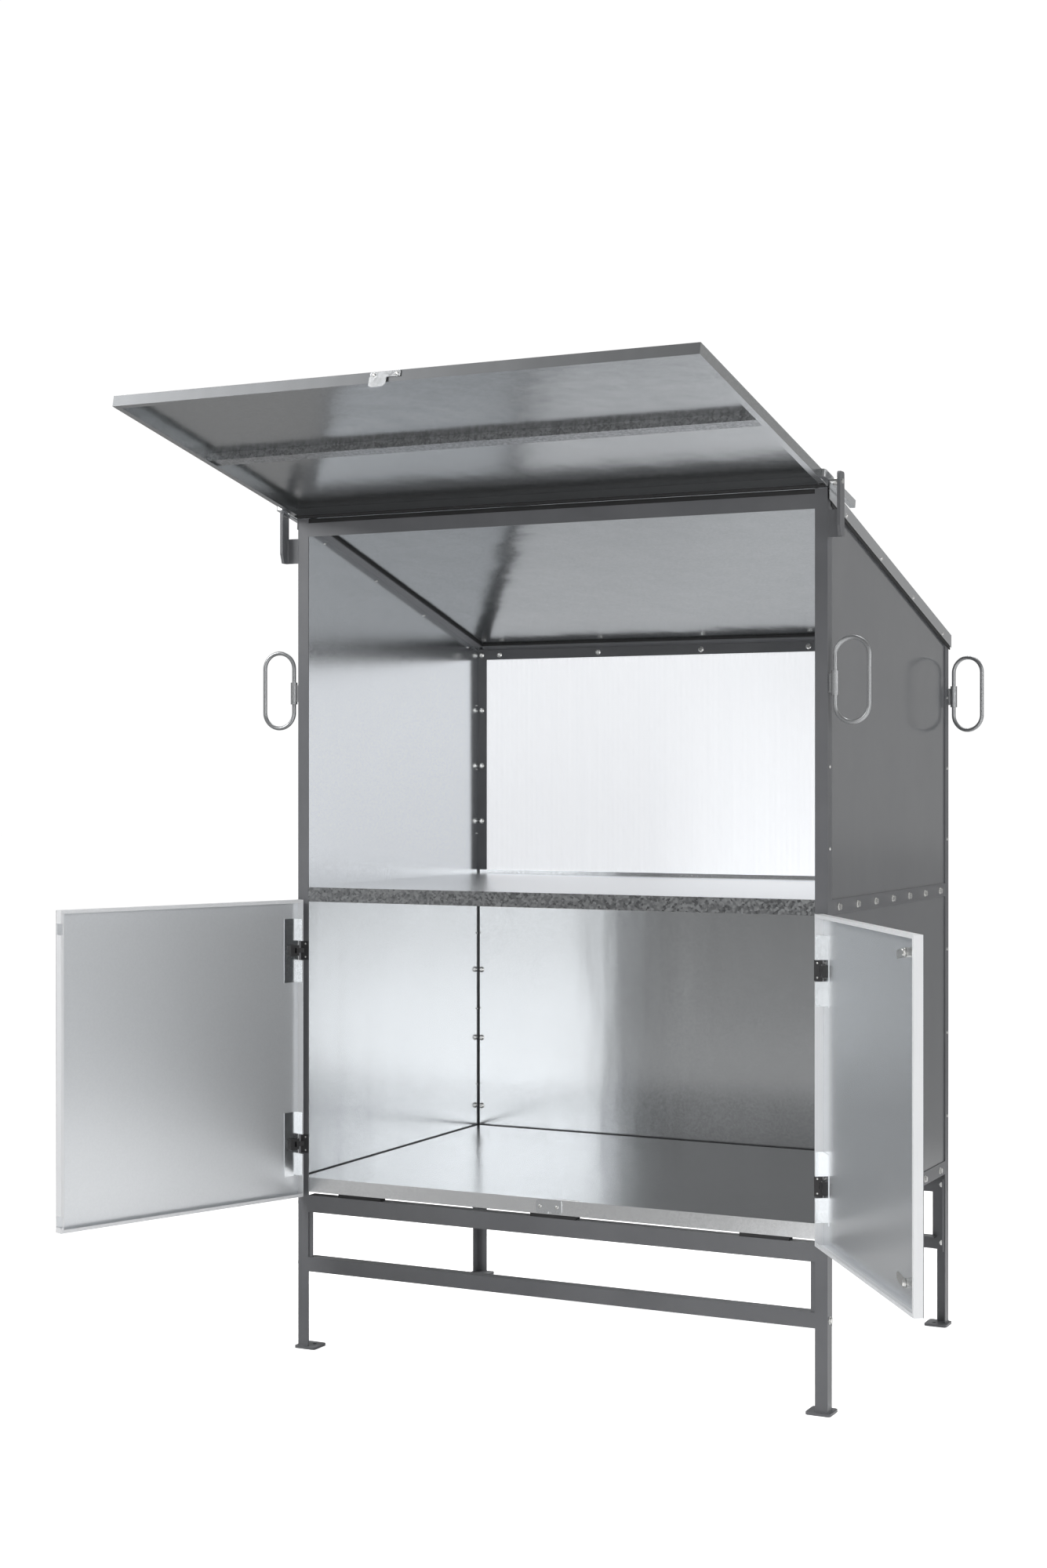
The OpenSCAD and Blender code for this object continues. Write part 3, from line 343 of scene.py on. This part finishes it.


# %% [markdown]
# Finishes of this cabinet. The angle iron has a satin anthracite coat. The side sheets are the same sort of paint,
# lighter and glossier. Folded sheet is bare hot-dip zinc: its crystals are a few millimetres across. Each sheet
# has its own two tones and its own gloss. Door rims are bright drawn aluminium.

# %% Finishes
frame_paint = finish("anthracite_paint", peel, "Shade", [(0.122, 0.125, 0.133), (0.156, 0.160, 0.170)],
                     (0.34, 0.46), 450, bump=0.25, dusty=0.08)
sheet_zinc = finish("sheet_zinc", spangle, "Shade", [(0.70, 0.72, 0.735), (0.80, 0.815, 0.83)],
                    (0.15, 0.23), 260, metallic=0.97, dusty=0.05, dust_tone=(0.6, 0.6, 0.6), wave=0.5)
mottled_zinc = finish("mottled_zinc", spangle, "Shade", [(0.115, 0.12, 0.125), (0.48, 0.49, 0.50)],
                      (0.20, 0.46), 190, bump=0.2, metallic=0.9, dusty=0.05)
flap_zinc = finish("flap_zinc", spangle, "Shade", [(0.42, 0.43, 0.435), (0.52, 0.53, 0.535)],
                   (0.17, 0.27), 220, metallic=0.95, dusty=0.06, wave=0.6)
roof_zinc = finish("roof_zinc", spangle, "Shade", [(0.29, 0.30, 0.305), (0.37, 0.38, 0.385)],
                   (0.14, 0.22), 220, metallic=0.95, dusty=0.06, wave=0.7)
rib_zinc = finish("rib_zinc", spangle, "Shade", [(0.16, 0.165, 0.17), (0.62, 0.63, 0.65)],
                  (0.25, 0.48), 210, bump=0.2, metallic=0.85, dusty=0.05)
tray_zinc = finish("tray_zinc", spangle, "Shade", [(0.82, 0.83, 0.84), (0.93, 0.94, 0.95)],
                   (0.17, 0.25), 240, metallic=0.97, dusty=0.03, dust_tone=(0.7, 0.7, 0.7), wave=0.4)
ring_zinc = finish("ring_zinc", peel, "Height", [(0.20, 0.205, 0.21), (0.52, 0.53, 0.54)],
                   (0.30, 0.44), 500, bump=0.25, metallic=0.8, dusty=0.06)
rim_metal = finish("drawn_aluminium", rolling, "Shade", [(0.80, 0.81, 0.83), (0.92, 0.93, 0.94)],
                   (0.35, 0.50), 400, metallic=0.25, dusty=0.03, dust_tone=(0.7, 0.7, 0.7))
bolt_zinc = finish("bolt_zinc", peel, "Height", [(0.58, 0.58, 0.57), (0.84, 0.84, 0.82)],
                   (0.20, 0.36), 900, bump=0.15, metallic=0.9, dusty=0.03)
black_rubber = finish("black_rubber", peel, "Shade", [(0.012, 0.012, 0.013), (0.030, 0.030, 0.031)],
                      (0.62, 0.80), 600, bump=0.3, dusty=0.12, dust_tone=(0.12, 0.12, 0.12))
black_nylon = finish("black_nylon", peel, "Height", [(0.015, 0.015, 0.016), (0.040, 0.040, 0.042)],
                     (0.42, 0.58), 1500, bump=0.4, dusty=0.08, dust_tone=(0.15, 0.15, 0.15))
opal = finish("opal_sheet", rolling, "Shade", [(0.74, 0.76, 0.78), (0.95, 0.96, 0.97)],
              (0.35, 0.50), 160, dusty=0.04, dust_tone=(0.8, 0.8, 0.8))
# The opal sheet glows a little: painted light, standing for the light that shines through it from behind.
opal.node_tree.nodes["Principled BSDF"].inputs["Emission Color"].default_value = (0.96, 0.97, 1.0, 1)
opal.node_tree.nodes["Principled BSDF"].inputs["Emission Strength"].default_value = 0.6


# %% [markdown]
# Some faces of a folded sheet are given painted light: a tone of their own, lighter or darker, that stands for the
# way light falls on that face or for what it mirrors. A face is picked by the way it looks: the dot product of its
# normal with a direction is near one on that face and falls away on the others. The seam round the cupboard's
# floor is darkened as painted shade where the walls shade it, and is picked by its place instead.


# %% Parts of a sheet
def mix_in(tree, name, kind, mask, new):
    """Puts a mix before a shader socket: mask 0 keeps what feeds it, mask 1 gives new, which is
    an output socket or a plain value."""
    socket = tree.nodes["Principled BSDF"].inputs[name]
    either = add_node(tree, "ShaderNodeMix", {"data_type": kind})
    if isinstance(new, bpy.types.NodeSocket):
        tree.links.new(new, either.inputs["B"])
    else:
        either.inputs["B"].default_value = new
    tree.links.new(mask, either.inputs["Factor"])
    tree.links.new(socket.links[0].from_socket, either.inputs["A"])
    tree.links.new(either.outputs["Result"], socket)


def painted_light_face(material, direction, tone, rough):
    """Gives the faces that look along direction, in the object's own coordinates, a tone and a roughness of their
    own: those where normal . direction is above 0.8. The tone is painted light or painted shade on those faces."""
    tree = material.node_tree
    place = add_node(tree, "ShaderNodeTexCoord")
    picked = place_group(tree, facing, place.outputs["Normal"], Direction=direction, Above=0.8)
    mix_in(tree, "Base Color", "RGBA", picked.outputs["Mask"], (*tone, 1))
    mix_in(tree, "Roughness", "FLOAT", picked.outputs["Mask"], rough)


def painted_seam_shade(material, walls, side, rear, tone, rough):
    """Darkens a sheet where it meets the walls round it: painted shade in the corner. walls is the side walls'
    distance from the middle, half, and the rear wall's y, back: the seam is where |x| > half - side or y > back -
    rear."""
    half, back = walls
    tree = material.node_tree
    place = add_node(tree, "ShaderNodeTexCoord")
    apart = add_node(tree, "ShaderNodeSeparateXYZ")
    tree.links.new(place.outputs["Object"], apart.inputs["Vector"])
    width = add_node(tree, "ShaderNodeMath", {"operation": "ABSOLUTE"})
    tree.links.new(apart.outputs["X"], width.inputs[0])
    near = []
    for output, limit in ((width.outputs["Value"], half - side), (apart.outputs["Y"], back - rear)):
        past = add_node(tree, "ShaderNodeMath", {"operation": "GREATER_THAN"})
        past.inputs[1].default_value = limit
        tree.links.new(output, past.inputs[0])
        near.append(past)
    seam = add_node(tree, "ShaderNodeMath", {"operation": "MAXIMUM"})
    for index, past in enumerate(near):
        tree.links.new(past.outputs["Value"], seam.inputs[index])
    mix_in(tree, "Base Color", "RGBA", seam.outputs["Value"], (*tone, 1))
    mix_in(tree, "Roughness", "FLOAT", seam.outputs["Value"], rough)


# A dark strip along the tray's side and rear walls: painted shade in the corner where the walls meet the floor.
wall_inside = -np.array(nodes["left_lower_panel"].bound_box)[:, 0].max()
back_inside = np.array(nodes["rear_lower_panel"].bound_box)[:, 1].min()
painted_seam_shade(tray_zinc, (wall_inside, back_inside), 9 * MM, 16 * MM, (0.09, 0.092, 0.095), 0.6)

# The flap's front rim is painted dark: painted shade, standing for the dim room in front that the rim mirrors.
FLAP_RISE = math.radians(12.5)
painted_light_face(flap_zinc, (0.0, -math.cos(FLAP_RISE), math.sin(FLAP_RISE)), (0.17, 0.175, 0.18), 0.55)
# The shelf's top is painted light: a painted reflection of the bright window that it mirrors.
painted_light_face(mottled_zinc, (0.0, 0.0, 1.0), (0.86, 0.87, 0.88), 0.27)
# The roof's faces towards the right are painted lighter: a painted highlight on the side that faces the light.
painted_light_face(roof_zinc, (1.0, 0.0, 0.0), (0.62, 0.63, 0.64), 0.34)

# %% [markdown]
# The side sheets and door skins are painted outside and bare inside. One
# sheet carries both finishes: the surface's own direction, in the object's
# coordinates, says which side a point is on. So the paint stays on the right
# side however far a door is open.


# %% Two-sided sheets
def two_sided(name, inward, outside, inside, rough_out, rough_in, metal_in, per_metre=260, wave=0.0):
    """A sheet with painted tones outside and bare tones inside: inside where the object-space
    normal . inward is above a half. inward None means towards the middle, x = 0."""
    material = finish(name, peel, "Shade", outside, rough_out, 380, bump=0.02, coat=0.25, dusty=0.04)
    tree = material.node_tree
    shader = tree.nodes["Principled BSDF"]
    place = add_node(tree, "ShaderNodeTexCoord")
    is_inside = place_group(tree, facing, place.outputs["Normal"], Above=0.5)
    if inward is None:
        flat = add_node(tree, "ShaderNodeVectorMath", {"operation": "MULTIPLY"})
        flat.inputs[1].default_value = (-2.0, 0, 0)
        tree.links.new(place.outputs["Object"], flat.inputs[0])
        tree.links.new(flat.outputs["Vector"], is_inside.inputs["Direction"])
    else:
        is_inside.inputs["Direction"].default_value = inward
    grain = place_group(tree, spangle, place.outputs["Object"], **{"Per metre": per_metre})
    bare = add_node(tree, "ShaderNodeMix", {"data_type": "RGBA"})
    bare.inputs["A"].default_value = (*inside[0], 1)
    bare.inputs["B"].default_value = (*inside[1], 1)
    tree.links.new(grain.outputs["Shade"], bare.inputs["Factor"])
    bare_gloss = add_node(tree, "ShaderNodeMapRange", To_Min=rough_in[0], To_Max=rough_in[1])
    tree.links.new(grain.outputs["Shade"], bare_gloss.inputs["Value"])
    metal = add_node(tree, "ShaderNodeMath", {"operation": "MULTIPLY"})
    metal.inputs[1].default_value = metal_in
    tree.links.new(is_inside.outputs["Mask"], metal.inputs[0])
    tree.links.new(metal.outputs["Value"], shader.inputs["Metallic"])
    bare_coat = add_node(tree, "ShaderNodeMapRange", To_Min=0.25, To_Max=0.0)
    tree.links.new(is_inside.outputs["Mask"], bare_coat.inputs["Value"])
    tree.links.new(bare_coat.outputs["Result"], shader.inputs["Coat Weight"])
    mix_in(tree, "Base Color", "RGBA", is_inside.outputs["Mask"], bare.outputs["Result"])
    mix_in(tree, "Roughness", "FLOAT", is_inside.outputs["Mask"], bare_gloss.outputs["Result"])
    if wave:
        bend_sheet(tree, place.outputs["Object"], wave)
    return material


PAINT_TONES = [(0.150, 0.155, 0.163), (0.176, 0.181, 0.190)]
ZINC_TONES = [(0.70, 0.72, 0.735), (0.80, 0.815, 0.83)]
LINING_TONES = [(0.74, 0.76, 0.78), (0.78, 0.80, 0.82)]
side_sheet = two_sided("side_sheet", None, PAINT_TONES, ZINC_TONES,
                       (0.10, 0.18), (0.15, 0.23), 0.97, wave=0.35)

# The side sheets' front faces are painted near white: a painted highlight where they catch the light.
painted_light_face(side_sheet, (0.0, -1.0, 0.0), (0.85, 0.85, 0.85), 0.5)


def door_inward(joint_name):
    """Which way a door's inner face points at rest: straight back when closed, and turned with
    the door when it stands open by an angle a, (-sin a, cos a, 0)."""
    joint = next(j for j in frame["joints"] if j["name"] == joint_name)
    limits = joint["range_deg"]
    turn = -math.radians(max(limits, key=abs))
    return (-math.sin(turn), math.cos(turn), 0.0)


left_skin = two_sided("left_door_sheet", door_inward("left_door_hinge"), PAINT_TONES, LINING_TONES,
                      (0.10, 0.18), (0.28, 0.31), 0.55)
right_skin = two_sided("right_door_sheet", door_inward("right_door_hinge"), PAINT_TONES, LINING_TONES,
                       (0.10, 0.18), (0.24, 0.27), 0.75)

# %% [markdown]
# The floor is plain white and glows a little, so that it meets the backdrop
# with no edge. Bare metal mirrors what lies before it, so in a reflection the
# floor is a white sheet on the right that gives way to a grey floor on the left
# and behind.

# %% Floor finish
GREY_LEFT, WHITE_RIGHT, GREY_BEHIND = 0.24, 0.95, 0.28  # as mirrored
MIRROR_GLOW = 0.55
CAMERA_GLOW = 0.75
stage_white = finish("stage_white", dust, "Mask", [(0.93, 0.93, 0.93), (0.94, 0.94, 0.94)],
                     (0.8, 0.85), 1.0, dusty=0.0)
tree = stage_white.node_tree
shader = tree.nodes["Principled BSDF"]
shader.inputs["Emission Color"].default_value = (1, 1, 1, 1)
mirrored = add_node(tree, "ShaderNodeLightPath")
darker = add_node(tree, "ShaderNodeMix", {"data_type": "RGBA"})
glow = add_node(tree, "ShaderNodeMath", {"operation": "MULTIPLY"})
glow.inputs[1].default_value = CAMERA_GLOW
across = add_node(tree, "ShaderNodeSeparateXYZ")
sweep = add_node(tree, "ShaderNodeMapRange", From_Min=-0.3, From_Max=0.5,
                 To_Min=GREY_LEFT, To_Max=WHITE_RIGHT)
spot = add_node(tree, "ShaderNodeTexCoord")
tree.links.new(spot.outputs["Object"], across.inputs["Vector"])
tree.links.new(across.outputs["X"], sweep.inputs["Value"])
far = add_node(tree, "ShaderNodeMapRange", From_Min=1.5, From_Max=3.5,
               To_Min=WHITE_RIGHT, To_Max=GREY_BEHIND)
tree.links.new(across.outputs["Y"], far.inputs["Value"])
least = add_node(tree, "ShaderNodeMath", {"operation": "MINIMUM"})
tree.links.new(sweep.outputs["Result"], least.inputs[0])
tree.links.new(far.outputs["Result"], least.inputs[1])
tree.links.new(least.outputs["Value"], darker.inputs["B"])
tree.links.new(shader.inputs["Base Color"].links[0].from_socket, darker.inputs["A"])
tree.links.new(mirrored.outputs["Is Glossy Ray"], darker.inputs["Factor"])
tree.links.new(darker.outputs["Result"], shader.inputs["Base Color"])
mirror_glow = add_node(tree, "ShaderNodeMath", {"operation": "MULTIPLY"})
tree.links.new(least.outputs["Value"], mirror_glow.inputs[0])
tree.links.new(mirrored.outputs["Is Glossy Ray"], mirror_glow.inputs[1])
both = add_node(tree, "ShaderNodeMath", {"operation": "MULTIPLY_ADD"})
both.inputs[1].default_value = MIRROR_GLOW
tree.links.new(mirrored.outputs["Is Camera Ray"], glow.inputs[0])
tree.links.new(mirror_glow.outputs["Value"], both.inputs[0])
tree.links.new(glow.outputs["Value"], both.inputs[2])
tree.links.new(both.outputs["Value"], shader.inputs["Emission Strength"])
floor.data.materials.append(stage_white)

SLOT_FINISH = {
    "frame_paint": frame_paint, "panel_paint": side_sheet, "galvanised": sheet_zinc,
    "opal_sheet": opal, "rubber": black_rubber, "bolts": bolt_zinc,
    "door_rim": rim_metal, "black_plastic": black_nylon,
}
NODE_FINISH = {
    "flap_rib": rib_zinc, "flap_panel": flap_zinc, "roof_panel": roof_zinc,
    "shelf": mottled_zinc, "floor_tray": tray_zinc, "ring_sleeves": ring_zinc,
    "front_left_ring": ring_zinc, "front_right_ring": ring_zinc,
    "rear_left_ring": ring_zinc, "rear_right_ring": ring_zinc,
    "left_door_skin": left_skin, "right_door_skin": right_skin,
}
for part in frame["record"]["subparts"]:
    material = NODE_FINISH.get(part["node"], SLOT_FINISH[part["material_slot"]])
    slots = nodes[part["node"]].material_slots
    for index in range(max(1, len(slots))):
        if slots:
            slots[index].material = material
        else:
            nodes[part["node"]].data.materials.append(material)
print("finishes:", sorted(m.name for m in bpy.data.materials))

# %% [markdown]
# Shapes a CAD drawing leaves out. Three builders cover them all. A grid of
# points becomes a mesh of quads; a closed section is carried along a straight
# line, which makes extrusions such as seals and twin-wall sheet; and a dome
# with a cross pressed into it makes the head of a screw.


# %% Mesh builders
def grid_quads(rows, columns, closed=False):
    """Quad corner numbers for points numbered row by row; closed joins the last column to the first."""
    r = np.arange(rows - 1)[:, None]
    c = np.arange(columns if closed else columns - 1)[None, :]
    d = (c + 1) % columns
    quads = np.stack([r * columns + c, r * columns + d, (r + 1) * columns + d, (r + 1) * columns + c], -1)
    return quads.reshape(-1, 4)


def add_piece(name, points, quads, body, material, smooth=True):
    """A mesh object from points and quads, riding on a body, with a finish."""
    mesh = bpy.data.meshes.new(name)
    mesh.from_pydata(points.tolist(), [], quads.tolist())
    mesh.validate()
    mesh.polygons.foreach_set("use_smooth", np.full(len(mesh.polygons), smooth))
    mesh.materials.append(material)
    piece = bpy.data.objects.new(name, mesh)
    scene.collection.objects.link(piece)
    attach(piece, body)
    return piece


def carried_section(upper, lower, start, end):
    """Points and quads of a bar. Its section lies between two lines of matching points, upper and
    lower, and it runs from start to end: point = section + (end - start) * t, t = 0 and 1."""
    ring = np.concatenate([upper, lower[::-1]])
    count, half = len(ring), len(upper)
    points = np.concatenate([ring + start, ring + end])
    sides = grid_quads(2, count, closed=True)
    i = np.arange(half - 1)
    cap = np.stack([i, i + 1, count - 2 - i, count - 1 - i], -1)
    return points, np.concatenate([sides, cap[:, ::-1], cap + count])


def outward(piece):
    """Joins the points that meet at poles and seams, then turns the closed mesh's faces outwards."""
    shape = bmesh.new()
    shape.from_mesh(piece.data)
    bmesh.ops.remove_doubles(shape, verts=shape.verts, dist=1e-6)
    bmesh.ops.recalc_face_normals(shape, faces=shape.faces)
    shape.to_mesh(piece.data)
    shape.free()
    return piece


# %% [markdown]
# The rear window is opal twin-wall sheet, the kind used for greenhouses. Its
# webs run up and down every 16 mm, and the skins sink a little between them.
# Each face is a row of shallow scallops: depth * sin(pi x / pitch) squared.

# %% Rear window
low, high = corners_of("rear_window")
PITCH = 16 * MM
SINK = 0.9 * MM
x = np.arange(low[0], high[0], PITCH / 8)
scallop = SINK * np.sin(np.pi * (x - low[0]) / PITCH) ** 2
front = np.stack([x, low[1] + scallop, np.zeros_like(x)], -1)
back = np.stack([x, high[1] - scallop, np.zeros_like(x)], -1)
points, quads = carried_section(front, back, (0, 0, low[2]), (0, 0, high[2]))
window = outward(add_piece("window_sheet", points, quads, "cabinet", opal, smooth=False))
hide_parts("rear_window")
print("window flutes:", round((high[0] - low[0]) / PITCH))

# %% [markdown]
# A rubber strip closes the gap between the flap and the beam over the
# opening. In section it is two rounded lips on a flat foot, so its height is
# the larger of two half circles: the cabinet sees two thin dark lines.

# %% Front seal
low, high = corners_of("front_seal")
s = np.linspace(0, 1, 49)
lips = np.abs(np.sin(2 * np.pi * s)) ** 0.6
top = np.stack([np.zeros_like(s), low[1] + s * (high[1] - low[1]),
                low[2] + (0.35 + 0.65 * lips) * (high[2] - low[2])], -1)
foot = top * (1, 1, 0) + (0, 0, low[2])
points, quads = carried_section(top, foot, (low[0], 0, 0), (high[0], 0, 0))
seal = outward(add_piece("front_lip_seal", points, quads, "cabinet", black_rubber, smooth=False))
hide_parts("front_seal")

# %% [markdown]
# Weld beads. A hand-laid bead is a row of overlapping puddles, so its radius
# swells and shrinks along its length, and it fades out at both ends. The
# bead is a tube: radius(t) = r * fade(t) * (1 + 0.2 sin(2 pi length t / step)).


# %% Weld beads
def weld_beads(name, runs, body, radius=2.6 * MM, step=3.4 * MM, sides=8, rings=48):
    """One mesh with a bead along each straight run (start, end), all worked out together."""
    runs = np.array(runs, float)
    start, end = runs[:, 0], runs[:, 1]
    along = end - start
    length = np.linalg.norm(along, axis=1, keepdims=True)
    along = along / length
    side = np.cross(along, np.where(np.abs(along[:, 2:3]) > 0.9, [[1.0, 0, 0]], [[0, 0, 1.0]]))
    side /= np.linalg.norm(side, axis=1, keepdims=True)
    other = np.cross(along, side)
    t = np.linspace(0, 1, rings)
    wave = 1 + 0.2 * np.sin(2 * np.pi * length * t / step)
    fade = 1 - np.abs(2 * t - 1) ** 14
    r = radius * fade * wave
    turn = np.linspace(0, 2 * np.pi, sides, endpoint=False)
    centre = start[:, None] + along[:, None] * (length * t)[..., None]
    ring = (np.cos(turn)[None, :, None] * side[:, None] + np.sin(turn)[None, :, None] * other[:, None])
    points = centre[:, :, None] + r[..., None, None] * ring[:, None]
    tube = grid_quads(rings, sides, closed=True)
    shift = np.arange(len(runs))[:, None, None] * rings * sides
    quads = (tube[None] + shift).reshape(-1, 4)
    return outward(add_piece(name, points.reshape(-1, 3), quads, body, frame_paint))


feet_low, feet_high = corners_of("foot_plates")
post_low, post_high = corners_of("front_left_post")
half_width, half_depth = abs(post_low[0]), abs(post_low[1])
leg = post_high[0] - post_low[0]
foot_top = feet_high[2]
runs = []
for sx in (-1, 1):
    for sy in (-1, 1):
        corner = np.array([sx * half_width, sy * half_depth, foot_top])
        runs.append((corner, corner - (sx * leg, 0, 0)))
        runs.append((corner, corner - (0, sy * leg, 0)))
weld_beads("foot_welds", runs, "cabinet")

strap_low, strap_high = corners_of("flap_brackets")
GUSSET_TOP = post_high[2] - 50 * MM
STRAP_INSET = 7.5 * MM  # from the strap's outer face in to its bead
runs = []
for sx in (-1, 1):
    for y in (-half_depth, -half_depth + 4 * MM):
        x = sx * (strap_high[0] - STRAP_INSET)
        runs.append(((x, y, strap_low[2] + 2 * MM), (x, y, GUSSET_TOP)))
    seam = (sx * half_width, -half_depth + 2 * MM)
    runs.append(((*seam, strap_low[2]), (*seam, GUSSET_TOP)))
weld_beads("bracket_welds", runs, "cabinet")

RING_LINE = 6 * MM    # the sleeves' middle, in from the posts' corners
SLEEVE_END = 7 * MM   # of sleeve left bare beyond each end of a bead
sleeve_low, sleeve_high = corners_of("ring_sleeves")
runs = []
for sx in (-1, 1):
    for sy in (-1, 1):
        for dy in (-2.5 * MM, 2.5 * MM):
            y = sy * (half_depth - RING_LINE) + dy
            for x in (half_width + 0.5 * MM, half_width + 9 * MM):
                runs.append(((sx * x, y, sleeve_low[2] + SLEEVE_END),
                             (sx * x, y, sleeve_high[2] - SLEEVE_END)))
weld_beads("sleeve_welds", runs, "cabinet", radius=1.8 * MM)
print("sleeve beads:", len(runs), "foot top:", round(foot_top, 4))


# %% [markdown]
# Every screw head is one closed form: a row of rings, each with a
# radius and a height, turned round the middle. A dome's height falls off as
# the square root of 1 - r squared, and the cross in it is a dip that is
# deepest on two lines through the middle.


# %% Heads
HEAD_SIDES = 24


def turned_heads(name, places, faces, body, radius, height):
    """Heads at places, each standing out along its unit vector in faces, in one closed mesh.
    radius and height are arrays of rings x HEAD_SIDES; the first and last rings have radius nought."""
    places, faces = np.array(places, float), np.array(faces, float)
    up = np.array([0.0, 0.0, 1.0])
    across = np.cross(faces, up)
    across /= np.linalg.norm(across, axis=1, keepdims=True)
    turn = np.linspace(0, 2 * np.pi, HEAD_SIDES, endpoint=False)[None]
    u, v = radius * np.cos(turn), radius * np.sin(turn)
    points = (places[:, None, None] + u[None, ..., None] * across[:, None, None]
              + v[None, ..., None] * up + height[None, ..., None] * faces[:, None, None])
    shell = grid_quads(len(radius), HEAD_SIDES, closed=True)
    quads = (shell[None] + (np.arange(len(places)) * radius.size)[:, None, None]).reshape(-1, 4)
    return outward(add_piece(name, points.reshape(-1, 3), quads, body, bolt_zinc, smooth=False))


def dome_head(radius, height, dip=0.7 * MM):
    """Rings of a domed head with a cross pressed into it."""
    r = np.concatenate([np.linspace(0, 1, 10), [1.0, 0.0]])[:, None] * np.ones((1, HEAD_SIDES))
    turn = np.linspace(0, 2 * np.pi, HEAD_SIDES, endpoint=False)[None]
    cross = np.exp(-(r * np.cos(turn) / 0.14) ** 2) + np.exp(-(r * np.sin(turn) / 0.14) ** 2)
    z = (0.25 + 0.75 * np.sqrt(np.clip(1 - r ** 2, 0, 1))) * height - dip * np.clip(cross, 0, 1) * (r < 0.6)
    z[-2:] = 0.0
    return radius * r, z


leaf_low, leaf_high = corners_of("hinge_post_leaves")
LEAF = 47 * MM          # height of a hinge leaf
LEAF_THICK = 2.3 * MM
HINGE_X = 691.5 * MM    # the hinges' lines, from the middle
SCREW_IN = 15 * MM      # from a hinge's line in to its screws
SCREW_END = 7 * MM      # from a leaf's end to its screw
leaf_face = -half_depth - LEAF_THICK
screw_x = HINGE_X - SCREW_IN
hinge_heights = (leaf_low[2] + LEAF / 2, leaf_high[2] - LEAF / 2)
spots = [(sx * screw_x, leaf_face, z + dz) for sx in (-1, 1) for z in hinge_heights
         for dz in (-LEAF / 2 + SCREW_END, LEAF / 2 - SCREW_END)]
turned_heads("hinge_leaf_screws", spots, [(0, -1, 0)] * len(spots), "cabinet",
             *dome_head(2.5 * MM, 1.3 * MM, 0.4 * MM))
print("hinge leaf screws:", len(spots))

# %% [markdown]
# A flat black rubber strip is glued to the flap's edge beside its pivots. It
# is drawn on the shut flap and then turned with it about the pivots' line:
# y' = y cos a - z sin a, z' = y sin a + z cos a.

# %% Flap edge strip
flap_joint = next(j for j in frame["joints"] if j["name"] == "flap_hinge")
pivot = np.array(flap_joint["pos_m"])
angle = -math.radians(max(flap_joint["range_deg"], key=abs))
s = np.linspace(0, 1, 25)
ribs = 0.25 * MM * np.cos(6 * np.pi * s)
z = 4.5 * MM - 14 * MM * s
inner = np.stack([0 * s, 7.7 * MM + 0 * s, z], -1)
outer = np.stack([0 * s, 9.4 * MM + ribs, z], -1)


def swing(points):
    """Turns points in the Y-Z plane by angle about nought, then moves them to the pivot."""
    y, z = points[:, 1], points[:, 2]
    turned = np.stack([points[:, 0], y * math.cos(angle) - z * math.sin(angle),
                       y * math.sin(angle) + z * math.cos(angle)], -1)
    return turned + (0, pivot[1], pivot[2])


flap_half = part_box("flap_panel")[1][0] - 4 * MM
points, quads = carried_section(swing(outer), swing(inner), (-flap_half, 0, 0), (flap_half, 0, 0))
outward(add_piece("flap_edge_strip", points, quads, "flap", black_rubber, smooth=False))
print("edge strip turned by", round(math.degrees(angle), 1), "degrees")
